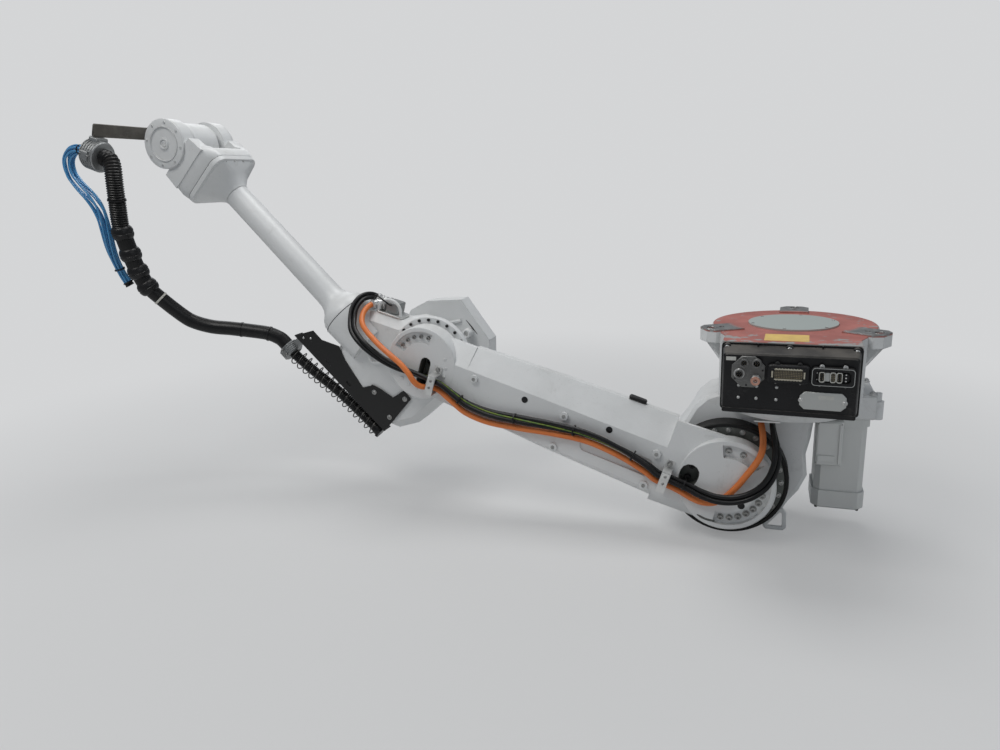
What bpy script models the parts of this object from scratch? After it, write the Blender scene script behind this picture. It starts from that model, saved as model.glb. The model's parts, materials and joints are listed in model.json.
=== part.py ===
"""A six-axis industrial robot arm that hangs by its base, at rest with its wrist raised.

The origin is the middle of the base's mounting plane. +Z points out of that plane, so the robot lies
below it. Axis 1 is the Z axis, the arm reaches toward -X, and the lower arm is on the -Y side.
Each moving piece is parented to an empty on its joint's axis. In the two arms' own frames X runs along
the arm, Y points away from the motors' side and Z is the arm's upper side in this pose.
"""
import math

import bmesh
import bpy
from mathutils import Matrix, Vector

# Kinematics: the lengths and turns between the six axes.
AXIS2_OFFSET = 0.175
AXIS2_DROP = 0.495
LOWER_LENGTH = 1.095
ELBOW_OFFSET = 0.175
WRIST_REACH = 1.270
FLANGE_REACH = 0.135
LOWER_TURN = math.radians(18.6)
UPPER_TURN = math.radians(46.3)
FLANGE_TURN = math.radians(19.6)
PANEL_TURN = math.radians(3.0)

# Clearances.
GAP = 0.0003
OVERRUN = 0.004
FINE_BEVEL = 0.003
CAST_BEVEL = 0.012

# Base.
DISC_R = 0.131
RING_SINK = 0.005
RING_R = 0.240
RING_SKIRT = 0.004
NECK_R = 0.178
BASE_DEPTH = 0.185
TAB_TIP = 0.290
TAB_HALF = 0.045
TAB_T = 0.040
BOLT_PLACE = 0.266
BOLT_R = 0.0135
PIN_PLACE = 0.232
PIN_R = 0.008
BOX_HALF = 0.180
BOX_END = 0.303
BOX_DROP = 0.200
GUSSET_T = 0.030

# Connector cover and what stands on it.
COVER_DEPTH = 0.080
COVER_LIP = 0.012
COVER_DRAFT = 0.012
COVER_TOP_DRAFT = 0.016
COVER_BOTTOM_DRAFT = 0.020
COVER_ROUND = 0.010
SOCKET_PLATE_R = 0.043
SOCKET_PLATE_T = 0.008
SOCKET_PLATE_AT = (-0.102, -0.0686)
SOCKET_R = 0.0115
SOCKET_WALL = 0.003
SOCKET_H = 0.012
SIGNAL_H = 0.024
PIN_BLOCK_W = 0.105
PIN_BLOCK_H = 0.050
PIN_BLOCK_T = 0.018
PIN_BLOCK_AT = (-0.001, -0.068)
MODULE_AT = (0.1075, -0.0695)
INSERT_W = 0.084
INSERT_H = 0.030
INSERT_DEPTH = 0.012
EAR_R = 0.006
BLANK_W = 0.1135
BLANK_H = 0.049
BLANK_T = 0.004
BLANK_AT = (0.087, -0.1395)
BLANK_CLIP = 0.012

# Turret.
DECK_R = 0.200
DECK_TOP = 0.212
DECK_T = 0.038
DECK_FOOT = 0.270
BEARING_R = 0.165
TURRET_NEAR = 0.055
TURRET_FAR = 0.165
SHELF_FROM = 0.030
SHELF_TO = 0.248
SHELF_NEAR = 0.045
SHELF_FAR = 0.140
SHELF_BOTTOM = 0.293
MOTOR_W = 0.154
MOTOR_CENTRE = (0.162, 0.047)
MOTOR_LENGTH = 0.308
MOTOR_RIB = 0.020
MOTOR_SINK = 0.006
MOTOR_CAP = 0.030
PLUG_BOX_W = 0.076
PLUG_BOX_DEPTH = 0.0295
PLUG_BOX_TOP = 0.300
PLUG_BOX_H = 0.145
POST_AT = (0.257, 0.0)
POST_R = 0.010
POST_TOP = 0.216
POST_FOOT_R = 0.017
RING2_R = 0.176
RING2_FACE = 0.110
SEAL_W = 0.011
SEAL_LIP = 0.003
HUB2_R = 0.120
MOTOR2_W = 0.150
MOTOR2_LENGTH = 0.250
LUG_T = 0.009
LUG_WALL = 0.013
LUG_AT = (-0.022, -0.645)
LUG_SIZE = 0.036
STRAP_W = 0.076
STRAP_REACH = 0.062
STRAP_T = 0.005
STRAP_AT = (-0.062, -0.292)

# Lower arm.
HEAD2_R = 0.150
HEAD2_FACE = 0.175
HEAD2_BACK = 0.120
BEAM_FACE2 = 0.172
BEAM_FACE3 = 0.158
BEAM_BACK = 0.070
BEAM_BACK3 = 0.085
BEAM_EDGE = 0.105
BEAM_START = 0.208
BEAM_SHORT = 0.170
BEAM_STOP = LOWER_LENGTH - BEAM_SHORT
HEAD3_R = 0.130
HEAD3_FACE = 0.160
BOLT_RING_OUT = 0.134
BOLT_RING_IN = 0.093
RECESS = 0.014
OVAL_DEPTH = 0.045
SLOT_DEPTH = 0.050
LONG_DEPTH = 0.007
BOSS_R = 0.0145
BOSS_H = 0.009
CAP_L = 0.060
CAP_W = 0.026
CAP_T = 0.012
CAP_FROM_ELBOW = 0.745
CAP_AT = LOWER_LENGTH - CAP_FROM_ELBOW
CLAMP_W = 0.028
CLAMP_LEG = 0.004
CLAMP_FOOT = 0.026
CLAMP_REACH = 0.068
CLAMP_2_AT = 0.182
CLAMP_2_UP = -0.015
CLAMP_3_BACK = 0.069
CLAMP_3_AT = LOWER_LENGTH - CLAMP_3_BACK
CLAMP_3_UP = -0.011
CABLE_LIFT = 0.004
POWER_R = 0.0100
SIGNAL_R = 0.0165

# Elbow.
ELBOW_NEAR = 0.055
ELBOW_FAR = 0.100
ELBOW_CHAMFER = 0.030
SLEEVE_R = 0.100
SLEEVE_START = 0.215
SEAM = 0.360
RING3_R = 0.152
RING3_FACE = 0.0787
HUB3_R = 0.100
HOOD_DEPTH = 0.135
HOOD_CHAMFER = 0.040
HOOP_R = 0.046
HOOP_T = 0.0060
HOOP_OUT = 0.034
PLUG_W = 0.050
PLUG_D = 0.068
PLUG_SEAT = 0.008
PLUG_BACK = 0.008
PLUG_SIDE = -0.012
PLUG_H = 0.040
TRAY_T = 0.004
TRAY_FLANGE = 0.045
BRACKET_T = 0.003
SPRING_HOSE_R = 0.019
TRAY_CLAMP_AT = (0.435, 0.030, -0.455)
SLOT_L = 0.030
SLOT_W = 0.008
TRAY_CLAMP_R = 0.040
TRAY_CLAMP_W = 0.040

# Wrist.
TUBE_R = 0.050
TUBE_TIP_R = 0.047
FLARE_R = 0.098
FORK_L = 0.270
FORK_START = WRIST_REACH - FORK_L
COLLAR_HALF = 0.114
FORK_HALF = 0.090
ARM_OUT = 0.1347
ARM_IN = 0.082
CROTCH = 0.120
COVER_R = 0.090
COVER_T = 0.008
COVER_RIM_R = 0.064
COVER_STEP = 0.0025
COVER_BOSS_R = 0.020
TILT_R = 0.080
TILT_HALF = 0.074
TRUNNION_R = 0.048
TILT_NECK_R = 0.046
TILT_NECK_END = 0.110
FLANGE_R = 0.050
FLANGE_STEP = 0.008

# Tool side.
BAR_W = 0.046
BAR_T = 0.008
BAR_END = 0.327
BAR_START = 0.040
BAR_ROUND = 0.006
HOSE_R = 0.029
AIR_R = 0.016
GRIP_R = 0.054
GRIP_L = 0.060
GRIP_AT = 0.300
GRIP_DROP = 0.088
GRIP_EAR = 0.016


def material(name, colour, roughness, metallic=0.0):
    """A plain surface of one colour."""
    made = bpy.data.materials.new(name)
    made.use_nodes = True
    shader = made.node_tree.nodes["Principled BSDF"]
    shader.inputs["Base Color"].default_value = (*colour, 1.0)
    shader.inputs["Roughness"].default_value = roughness
    shader.inputs["Metallic"].default_value = metallic
    return made


def place(axis, along, first, second):
    """The point at a height along X, Y or Z with its two other coordinates."""
    if axis == "X":
        return Vector((along, first, second))
    if axis == "Y":
        return Vector((first, along, second))
    return Vector((first, second, along))


def shifted(outline, first, second):
    """The outline moved in its own plane."""
    return [(x + first, y + second) for x, y in outline]


def sized(shares, first, second=None):
    """An outline written in shares of one or two sizes."""
    second = first if second is None else second
    return [(x * first, y * second) for x, y in shares]


def inset(outline, distance):
    """The outline with each of its sides moved inward by a distance."""
    count = len(outline)
    area = sum(outline[i - 1][0] * outline[i][1] - outline[i][0] * outline[i - 1][1] for i in range(count))
    turn = math.copysign(1, area)
    moved = []
    for i in range(count):
        here = Vector(outline[i])
        before = (here - Vector(outline[i - 1])).normalized()
        after = (Vector(outline[(i + 1) % count]) - here).normalized()
        side_a = Vector((-before.y, before.x)) * turn
        side_b = Vector((-after.y, after.x)) * turn
        miter = (side_a + side_b) / max(1 + side_a.dot(side_b), 0.5)
        moved.append(tuple(here + miter * distance))
    return moved


def rounded(width, height, radius, steps=3):
    """A rectangle about zero with round corners."""
    points = []
    for corner in range(4):
        across = (1, -1, -1, 1)[corner] * (width / 2 - radius)
        up = (1, 1, -1, -1)[corner] * (height / 2 - radius)
        for step in range(steps + 1):
            angle = math.pi / 2 * (corner + step / steps)
            points.append((across + radius * math.cos(angle), up + radius * math.sin(angle)))
    return points


def clipped(width, height, clip):
    """A rectangle about zero with its corners cut off."""
    w, h = width / 2, height / 2
    return [(w, h - clip), (w - clip, h), (clip - w, h), (-w, h - clip),
            (-w, clip - h), (clip - w, -h), (w - clip, -h), (w, clip - h)]


def circle(radius, steps=32):
    """A circle about zero as an outline."""
    angles = [2 * math.pi * i / steps for i in range(steps)]
    return [(radius * math.cos(a), radius * math.sin(a)) for a in angles]


def oval(length, width, steps=6):
    """A slot about zero, round at both ends, its length along the first direction."""
    half = (length - width) / 2
    points = []
    for end in (1, -1):
        for step in range(steps + 1):
            angle = math.pi * (step / steps - 0.5) + (0 if end > 0 else math.pi)
            points.append((end * half + width / 2 * math.cos(angle), width / 2 * math.sin(angle)))
    return points


def sector(inner, outer, start, stop, steps=16):
    """Part of a flat ring between two radii and two angles in degrees."""
    angles = [math.radians(start + (stop - start) * i / steps) for i in range(steps + 1)]
    outside = [(outer * math.cos(a), outer * math.sin(a)) for a in angles]
    return outside + [(inner * math.cos(a), inner * math.sin(a)) for a in reversed(angles)]


def loft(sections):
    """A closed solid through rings of equally many points."""
    mesh = bmesh.new()
    rings = [[mesh.verts.new(p) for p in ring] for ring in sections]
    count = len(rings[0])
    for low, high in zip(rings, rings[1:]):
        for i in range(count):
            mesh.faces.new((low[i], low[(i + 1) % count], high[(i + 1) % count], high[i]))
    mesh.faces.new(rings[0])
    mesh.faces.new(rings[-1])
    bmesh.ops.recalc_face_normals(mesh, faces=mesh.faces)
    return mesh


def prism(outline, axis, low, high, chamfer=0.0):
    """An outline pushed along an axis, with both ends chamfered on request."""
    if not chamfer:
        return loft([[place(axis, level, *p) for p in outline] for level in (low, high)])
    small = inset(outline, chamfer)
    levels = ((low, small), (low + chamfer, outline), (high - chamfer, outline), (high, small))
    return loft([[place(axis, level, *p) for p in ring] for level, ring in levels])


def turned(profile, axis, centre=(0, 0), steps=48, closed=False):
    """A profile of radius and height pairs turned about an axis."""
    mesh = bmesh.new()
    rings = []
    for radius, height in profile:
        if radius == 0:
            rings.append([mesh.verts.new(place(axis, height, *centre))])
            continue
        ring = shifted(circle(radius, steps), *centre)
        rings.append([mesh.verts.new(place(axis, height, *p)) for p in ring])
    pairs = list(zip(rings, rings[1:]))
    if closed:
        pairs.append((rings[-1], rings[0]))
    for low, high in pairs:
        for i in range(steps):
            j = (i + 1) % steps
            if len(low) == 1:
                mesh.faces.new((low[0], high[j], high[i]))
            elif len(high) == 1:
                mesh.faces.new((low[i], low[j], high[0]))
            else:
                mesh.faces.new((low[i], low[j], high[j], high[i]))
    bmesh.ops.recalc_face_normals(mesh, faces=mesh.faces)
    return mesh


def rod(radius, axis, low, high, centre=(0, 0), steps=24):
    """A plain cylinder."""
    return turned([(0, low), (radius, low), (radius, high), (0, high)], axis, centre, steps)


def add(name, mesh, look, parent, sharp=35):
    """Put a finished mesh into the scene under its node's name."""
    data = bpy.data.meshes.new(name)
    mesh.to_mesh(data)
    mesh.free()
    return show(name, data, look, parent, sharp)


def show(name, data, look, parent, sharp=35):
    """An object for a mesh, shaded smooth but for its sharp edges."""
    data.shade_smooth()
    data.set_sharp_from_angle(angle=math.radians(sharp))
    data.materials.clear()
    data.materials.append(look)
    made = bpy.data.objects.new(name, data)
    made.parent = parent
    bpy.context.scene.collection.objects.link(made)
    return made


def solid(name, parts, cuts, look, parent, sharp=35):
    """Parts joined into one body by unions, then cut."""
    scratch = []
    for i, mesh in enumerate(parts + cuts):
        data = bpy.data.meshes.new(f"{name}_{i}")
        mesh.to_mesh(data)
        mesh.free()
        piece = bpy.data.objects.new(data.name, data)
        bpy.context.scene.collection.objects.link(piece)
        scratch.append(piece)
    for i, piece in enumerate(scratch[1:], 1):
        step = scratch[0].modifiers.new("Boolean", "BOOLEAN")
        step.solver = "EXACT"
        step.operation = "UNION" if i < len(parts) else "DIFFERENCE"
        step.object = piece
    bpy.context.view_layer.update()
    graph = bpy.context.evaluated_depsgraph_get()
    result = bpy.data.meshes.new_from_object(scratch[0].evaluated_get(graph))
    for piece in scratch:
        bpy.data.objects.remove(piece)
    result.name = name
    return show(name, result, look, parent, sharp)


def smooth_route(points, spacing):
    """Points a given distance apart on a smooth curve through a route's points."""
    knots = [Vector(p) for p in points]
    knots = [2 * knots[0] - knots[1]] + knots + [2 * knots[-1] - knots[-2]]
    fine = []
    for a, b, c, d in zip(knots, knots[1:], knots[2:], knots[3:]):
        for step in range(12):
            t = step / 12
            fine.append(0.5 * (2 * b + (c - a) * t + (2 * a - 5 * b + 4 * c - d) * t ** 2
                               + (3 * b - 3 * c + d - a) * t ** 3))
    fine.append(knots[-2])
    travelled = [0.0]
    for a, b in zip(fine, fine[1:]):
        travelled.append(travelled[-1] + (b - a).length)
    count = max(3, round(travelled[-1] / spacing))
    even = []
    at = 0
    for step in range(count + 1):
        want = travelled[-1] * step / count
        while at < len(fine) - 2 and travelled[at + 1] < want:
            at += 1
        share = (want - travelled[at]) / (travelled[at + 1] - travelled[at])
        even.append(fine[at].lerp(fine[at + 1], min(max(share, 0), 1)))
    return even


def tube(name, points, radius, look, parent=None, sides=3, smooth=True):
    """A round cord or bent rod through a route's points."""
    route = smooth_route(points, 4 * radius) if smooth else [Vector(p) for p in points]
    if smooth:
        head = (Vector(points[1]) - Vector(points[0])).normalized()
        tail = (Vector(points[-2]) - Vector(points[-1])).normalized()
        route = [route[0], route[0] + head * radius] + route[1:-1] + [route[-1] + tail * radius, route[-1]]
    curve = bpy.data.curves.new(name, "CURVE")
    curve.dimensions = "3D"
    curve.bevel_depth = radius
    curve.bevel_resolution = sides
    curve.use_fill_caps = True
    line = curve.splines.new("POLY")
    line.points.add(len(route) - 1)
    for point, where in zip(line.points, route):
        point.co = (*where, 1)
    curve.materials.append(look)
    made = bpy.data.objects.new(name, curve)
    made.parent = parent
    bpy.context.scene.collection.objects.link(made)
    return made


def pivot(name, location, turn, parent=None):
    """An empty that carries everything beyond one joint."""
    made = bpy.data.objects.new(name, None)
    made.location = location
    made.rotation_euler = turn
    made.parent = parent
    bpy.context.scene.collection.objects.link(made)
    return made


def build_base(at, paint, metal, plate, black, grey, brass):
    """The cast base, its cover disc and the connector cover with its plugs."""
    profile = [(0, -RING_SINK), (RING_R - RING_SKIRT, -RING_SINK), (RING_R, -RING_SINK - RING_SKIRT)]
    wall_shares = ((1.013, 0.11), (0.985, 0.34), (0.90, 0.65), (0.78, 0.89))
    profile += [(RING_R * r, -BASE_DEPTH * z) for r, z in wall_shares]
    profile += [(NECK_R, -BASE_DEPTH), (0, -BASE_DEPTH)]
    parts = [turned(profile, "Z", steps=64)]
    side_shares = ((-1.0, -1.0), (1.0, -1.0), (1.0, -0.74), (1.10, -0.60), (1.10, -0.575),
                   (-1.10, -0.575), (-1.10, -0.60), (-1.0, -0.74))
    parts.append(prism(sized(side_shares, BOX_HALF, BOX_END), "Z", -BOX_DROP, -RING_SINK))
    wall_shares = ((-1.10, -0.60), (1.10, -0.60), (1.04, -0.25), (-1.04, -0.25))
    parts.append(prism(sized(wall_shares, BOX_HALF, BOX_END), "Z", -BASE_DEPTH * 0.86, -RING_SINK))
    cuts = []
    tab_shares = ((0.62, -1.0), (0.93, -1.0), (1.0, -0.55), (1.0, 0.55), (0.93, 1.0), (0.62, 1.0))
    web_shares = ((0.62, -0.9), (0.97, -0.9), (0.80, -2.6), (0.66, -3.2), (0.55, -3.2), (0.55, -0.9))
    for direction in (-30, 90, 210):
        turn = Matrix.Rotation(math.radians(direction), 4, "Z")
        pieces = [prism(sized(tab_shares, TAB_TIP, TAB_HALF), "Z", -TAB_T, 0.0),
                  prism(sized(web_shares, TAB_TIP, TAB_T), "Y", -GUSSET_T / 2, GUSSET_T / 2)]
        holes = [rod(BOLT_R, "Z", -TAB_T * 2, OVERRUN, (BOLT_PLACE, 0)),
                 rod(PIN_R, "Z", -TAB_T * 0.5, OVERRUN, (PIN_PLACE, 0), 16)]
        for piece in pieces + holes:
            piece.transform(turn)
        parts += pieces
        cuts += holes
    solid("base_casting", parts, cuts, paint, at)
    add("base_cover_disc", rod(DISC_R, "Z", -RING_SINK + GAP, 0.0, steps=64), plate, at)

    start = -BOX_END - GAP
    middle = -BOX_DROP / 2
    rings = []
    stations = ((0.0, 0.0, 0.0, 0.0), (COVER_LIP, 0.0, 0.0, 0.0), (COVER_LIP, 0.35, 0.35, 0.35),
                (COVER_DEPTH - COVER_ROUND / 2, 0.9, 0.9, 0.9), (COVER_DEPTH, 1.2, 1.2, 1.2))
    for depth, side, top, bottom in stations:
        width = 2 * (BOX_HALF - side * COVER_DRAFT)
        high = -RING_SINK - top * COVER_TOP_DRAFT
        low = -BOX_DROP + bottom * COVER_BOTTOM_DRAFT
        ring = shifted(rounded(width, high - low, COVER_ROUND), 0, (high + low) / 2)
        rings.append([place("Y", start - depth, *p) for p in ring])
    face = start - COVER_DEPTH
    lip_low = -BOX_DROP + COVER_BOTTOM_DRAFT
    lip = shifted(rounded(2 * (BOX_HALF - COVER_DRAFT), COVER_LIP, COVER_LIP / 3), 0, lip_low)
    solid("connector_cover", [loft(rings), prism(lip, "Y", face - GAP - FINE_BEVEL, face + COVER_ROUND * 2)],
          [], black, at)

    def proud(outline, centre, depth, chamfer=0.0):
        return prism(shifted(outline, *centre), "Y", face - GAP - depth, face - GAP, chamfer)

    def socket(offset, height):
        centre = (SOCKET_PLATE_AT[0] + offset[0], SOCKET_PLATE_AT[1] + offset[1])
        back = face - GAP - SOCKET_PLATE_T
        inner = SOCKET_R - SOCKET_WALL
        return turned([(0, back + GAP), (SOCKET_R, back + GAP), (SOCKET_R, back - height),
                       (inner, back - height), (inner, back - height / 3), (0, back - height / 3)],
                      "Y", centre, 20)

    plate_outline = clipped(2 * SOCKET_PLATE_R, 2 * SOCKET_PLATE_R, SOCKET_PLATE_R * 0.6)
    offset_shares = ((-0.25, 0.60), (0.50, 0.60), (-0.52, -0.10))
    sockets = [socket(offset, SOCKET_H) for offset in sized(offset_shares, SOCKET_PLATE_R)]
    solid("round_connector_plate", [proud(plate_outline, SOCKET_PLATE_AT, SOCKET_PLATE_T, FINE_BEVEL / 2)]
          + sockets, [], metal, at)
    signal_share = (0.48, -0.42)
    signal = (SOCKET_PLATE_AT[0] + signal_share[0] * SOCKET_PLATE_R,
              SOCKET_PLATE_AT[1] + signal_share[1] * SOCKET_PLATE_R)
    back = face - 2 * GAP - SOCKET_PLATE_T
    add("signal_connector", turned([(0, back), (SOCKET_R, back), (SOCKET_R, back - SIGNAL_H * 0.5),
                                    (SOCKET_R * 0.8, back - SIGNAL_H), (SOCKET_R * 0.45, back - SIGNAL_H),
                                    (SOCKET_R * 0.45, back - SIGNAL_H * 0.6), (0, back - SIGNAL_H * 0.6)],
                                   "Y", signal, 24), brass, at)
    body = rounded(PIN_BLOCK_W, PIN_BLOCK_H, PIN_BLOCK_H / 5)
    opening = clipped(INSERT_W, INSERT_H, INSERT_H / 5)
    front = face - GAP - PIN_BLOCK_T
    for name, centre, inner_shares in (("multi_pin_connector", PIN_BLOCK_AT, ((0.0, 0.86),)),
                                       ("modular_connector", MODULE_AT,
                                        ((-0.33, 0.16), (0.16, 0.16), (0.36, 0.16)))):
        cut = prism(shifted(opening, *centre), "Y", front - OVERRUN, front + INSERT_DEPTH)
        ears = [rod(EAR_R, "Y", face - GAP - EAR_R * 2, face - GAP,
                    (centre[0] + side * INSERT_W * 0.33, centre[1] + PIN_BLOCK_H / 2), 12) for side in (-1, 1)]
        block = solid(name, [proud(body, centre, PIN_BLOCK_T, FINE_BEVEL)] + ears, [cut], black, at)
        for shift, width in inner_shares:
            insert = rounded(INSERT_W * width, INSERT_H * 0.72, INSERT_H / 8)
            insert = shifted(insert, centre[0] + shift * INSERT_W, centre[1])
            grown = prism(insert, "Y", front + FINE_BEVEL, front + INSERT_DEPTH + OVERRUN)
            piece = add(name + "_insert", grown, black, at)
            join = block.modifiers.new("Boolean", "BOOLEAN")
            join.operation = "UNION"
            join.object = piece
            piece.hide_render = True
            piece.display_type = "WIRE"
    add("connector_blanking_plate", proud(clipped(BLANK_W, BLANK_H, BLANK_CLIP), BLANK_AT, BLANK_T,
                                          FINE_BEVEL / 3), grey, at)


def build_turret(at, paint, motor_paint, metal, rubber, steel):
    """The cast turret with its bearing collar, motors, gearbox ring, lug and cable strap."""
    x, z = -AXIS2_OFFSET, -AXIS2_DROP
    side_shares = ((0.30, -0.43), (0.30, -0.50), (0.155, -0.60), (0.141, -0.73), (0.119, -0.842),
                   (0.135, -0.984), (0.089, -1.097), (0.030, -1.178), (-0.02, -1.27), (-0.10, -1.345),
                   (-0.22, -1.39), (-0.38, -1.40), (-0.53, -1.35), (-0.65, -1.25), (-0.73, -1.11),
                   (-0.745, -0.95), (-0.71, -0.78), (-0.63, -0.66), (-0.578, -0.56), (-0.507, -0.49),
                   (-0.40, -0.445), (-0.30, -0.43))
    outline = sized(side_shares, AXIS2_DROP)
    parts = [prism(outline, "Y", -TURRET_NEAR, TURRET_FAR, CAST_BEVEL)]
    parts.append(turned([(0, -BASE_DEPTH - GAP), (BEARING_R, -BASE_DEPTH - GAP), (BEARING_R, -DECK_TOP),
                         (DECK_R - FINE_BEVEL, -DECK_TOP), (DECK_R, -DECK_TOP - FINE_BEVEL),
                         (DECK_R, -DECK_TOP - DECK_T), (DECK_R * 0.92, -DECK_FOOT), (0, -DECK_FOOT)],
                        "Z", steps=56))
    shelf = [(SHELF_FROM, -SHELF_NEAR), (SHELF_TO, -SHELF_NEAR), (SHELF_TO, SHELF_FAR),
             (SHELF_FROM, SHELF_FAR)]
    parts.append(prism(shelf, "Z", -SHELF_BOTTOM, -DECK_TOP - FINE_BEVEL, CAST_BEVEL / 2))
    post_x, post_y = POST_AT
    parts.append(rod(POST_FOOT_R, "Z", -SHELF_BOTTOM * 1.02, -POST_TOP - POST_R * 2.6, (post_x, post_y), 20))
    parts.append(rod(POST_R, "Z", -SHELF_BOTTOM, -POST_TOP, (post_x, post_y), 6))
    solid("turret_frame", parts, [], paint, at)

    square = clipped(MOTOR_W, MOTOR_W, MOTOR_RIB)
    square = shifted(square, *MOTOR_CENTRE)
    waist = inset(square, MOTOR_SINK)
    top = -SHELF_BOTTOM - GAP
    bottom = top - MOTOR_LENGTH
    levels = ((top, square), (top - MOTOR_CAP, square), (top - MOTOR_CAP, waist),
              (bottom + MOTOR_CAP * 2, waist), (bottom + MOTOR_CAP * 2, square), (bottom + MOTOR_SINK, square),
              (bottom, waist))
    add("axis1_motor", loft([[place("Z", level, *p) for p in ring] for level, ring in levels]),
        motor_paint, at)
    box_face = MOTOR_CENTRE[1] - MOTOR_W / 2 - GAP
    box = [(MOTOR_CENTRE[0] - MOTOR_W / 2, -PLUG_BOX_TOP - PLUG_BOX_H),
           (MOTOR_CENTRE[0] - MOTOR_W / 2 + PLUG_BOX_W, -PLUG_BOX_TOP - PLUG_BOX_H),
           (MOTOR_CENTRE[0] - MOTOR_W / 2 + PLUG_BOX_W, -PLUG_BOX_TOP),
           (MOTOR_CENTRE[0] - MOTOR_W / 2, -PLUG_BOX_TOP)]
    add("axis1_motor_box", prism(box, "Y", box_face - PLUG_BOX_DEPTH, box_face, FINE_BEVEL), motor_paint, at)

    back = -TURRET_NEAR - GAP
    face = -RING2_FACE
    add("axis2_gearbox_ring", turned([(0, back), (RING2_R, back), (RING2_R, face + FINE_BEVEL),
                                      (RING2_R - FINE_BEVEL, face), (0, face)], "Y", (x, z), 64), steel, at)
    inner = RING2_R + GAP
    outer = inner + SEAL_W
    add("axis2_seal", turned([(inner, back), (outer, back), (outer, face - SEAL_LIP + FINE_BEVEL),
                              (outer - FINE_BEVEL, face - SEAL_LIP), (inner, face - SEAL_LIP)],
                             "Y", (x, z), 64, closed=True), rubber, at)
    rear = TURRET_FAR + GAP
    far_square = shifted(clipped(MOTOR2_W, MOTOR2_W, MOTOR_RIB), x, z)
    far_waist = inset(far_square, MOTOR_SINK)
    levels = ((rear, far_square), (rear + MOTOR_CAP, far_square), (rear + MOTOR_CAP, far_waist),
              (rear + MOTOR2_LENGTH - MOTOR_CAP * 2, far_waist),
              (rear + MOTOR2_LENGTH - MOTOR_CAP * 2, far_square),
              (rear + MOTOR2_LENGTH - MOTOR_SINK, far_square), (rear + MOTOR2_LENGTH, far_waist))
    add("axis2_motor", loft([[place("Y", level, *p) for p in ring] for level, ring in levels]),
        motor_paint, at)

    loop_shares = ((0.65, 1.15), (0.95, 0.75), (1.0, -0.70), (0.72, -1.0), (-0.75, -1.0), (-1.0, -0.72),
                   (-0.95, -0.35), (0.25, 1.15))
    loop = sized(loop_shares, LUG_SIZE)
    hole = shifted(inset(loop, LUG_WALL), *LUG_AT)
    loop = shifted(loop, *LUG_AT)
    solid("lifting_lug", [prism(loop, "Y", back - LUG_T, back, FINE_BEVEL)],
          [prism(hole, "Y", back - LUG_T - OVERRUN, back + OVERRUN)], paint, at)

    strap_x, strap_z = STRAP_AT
    half = STRAP_W / 2
    near = -TURRET_NEAR - GAP
    leg = [(near, strap_z - STRAP_W * 0.28), (near, strap_z), (near - STRAP_REACH, strap_z),
           (near - STRAP_REACH, strap_z - STRAP_T), (near - STRAP_T, strap_z - STRAP_T),
           (near - STRAP_T, strap_z - STRAP_W * 0.28)]
    strap = loft([[Vector((level, p[0], p[1])) for p in leg] for level in (strap_x - half, strap_x + half)])
    add("turret_cable_strap", strap, metal, at)


def arm_section(along, top, upper, lower, bottom, face, back):
    """One cross-section of the lower arm's beam, with its two long slanting facets."""
    edge = BEAM_EDGE
    points = [(back, top - CAST_BEVEL), (back + CAST_BEVEL, top), (max(edge, back + CAST_BEVEL * 2), top),
              (face, upper), (face, lower), (max(edge, back + CAST_BEVEL * 2), bottom),
              (back + CAST_BEVEL, bottom), (back, bottom + CAST_BEVEL)]
    return [Vector((along, y, z)) for y, z in points]


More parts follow.
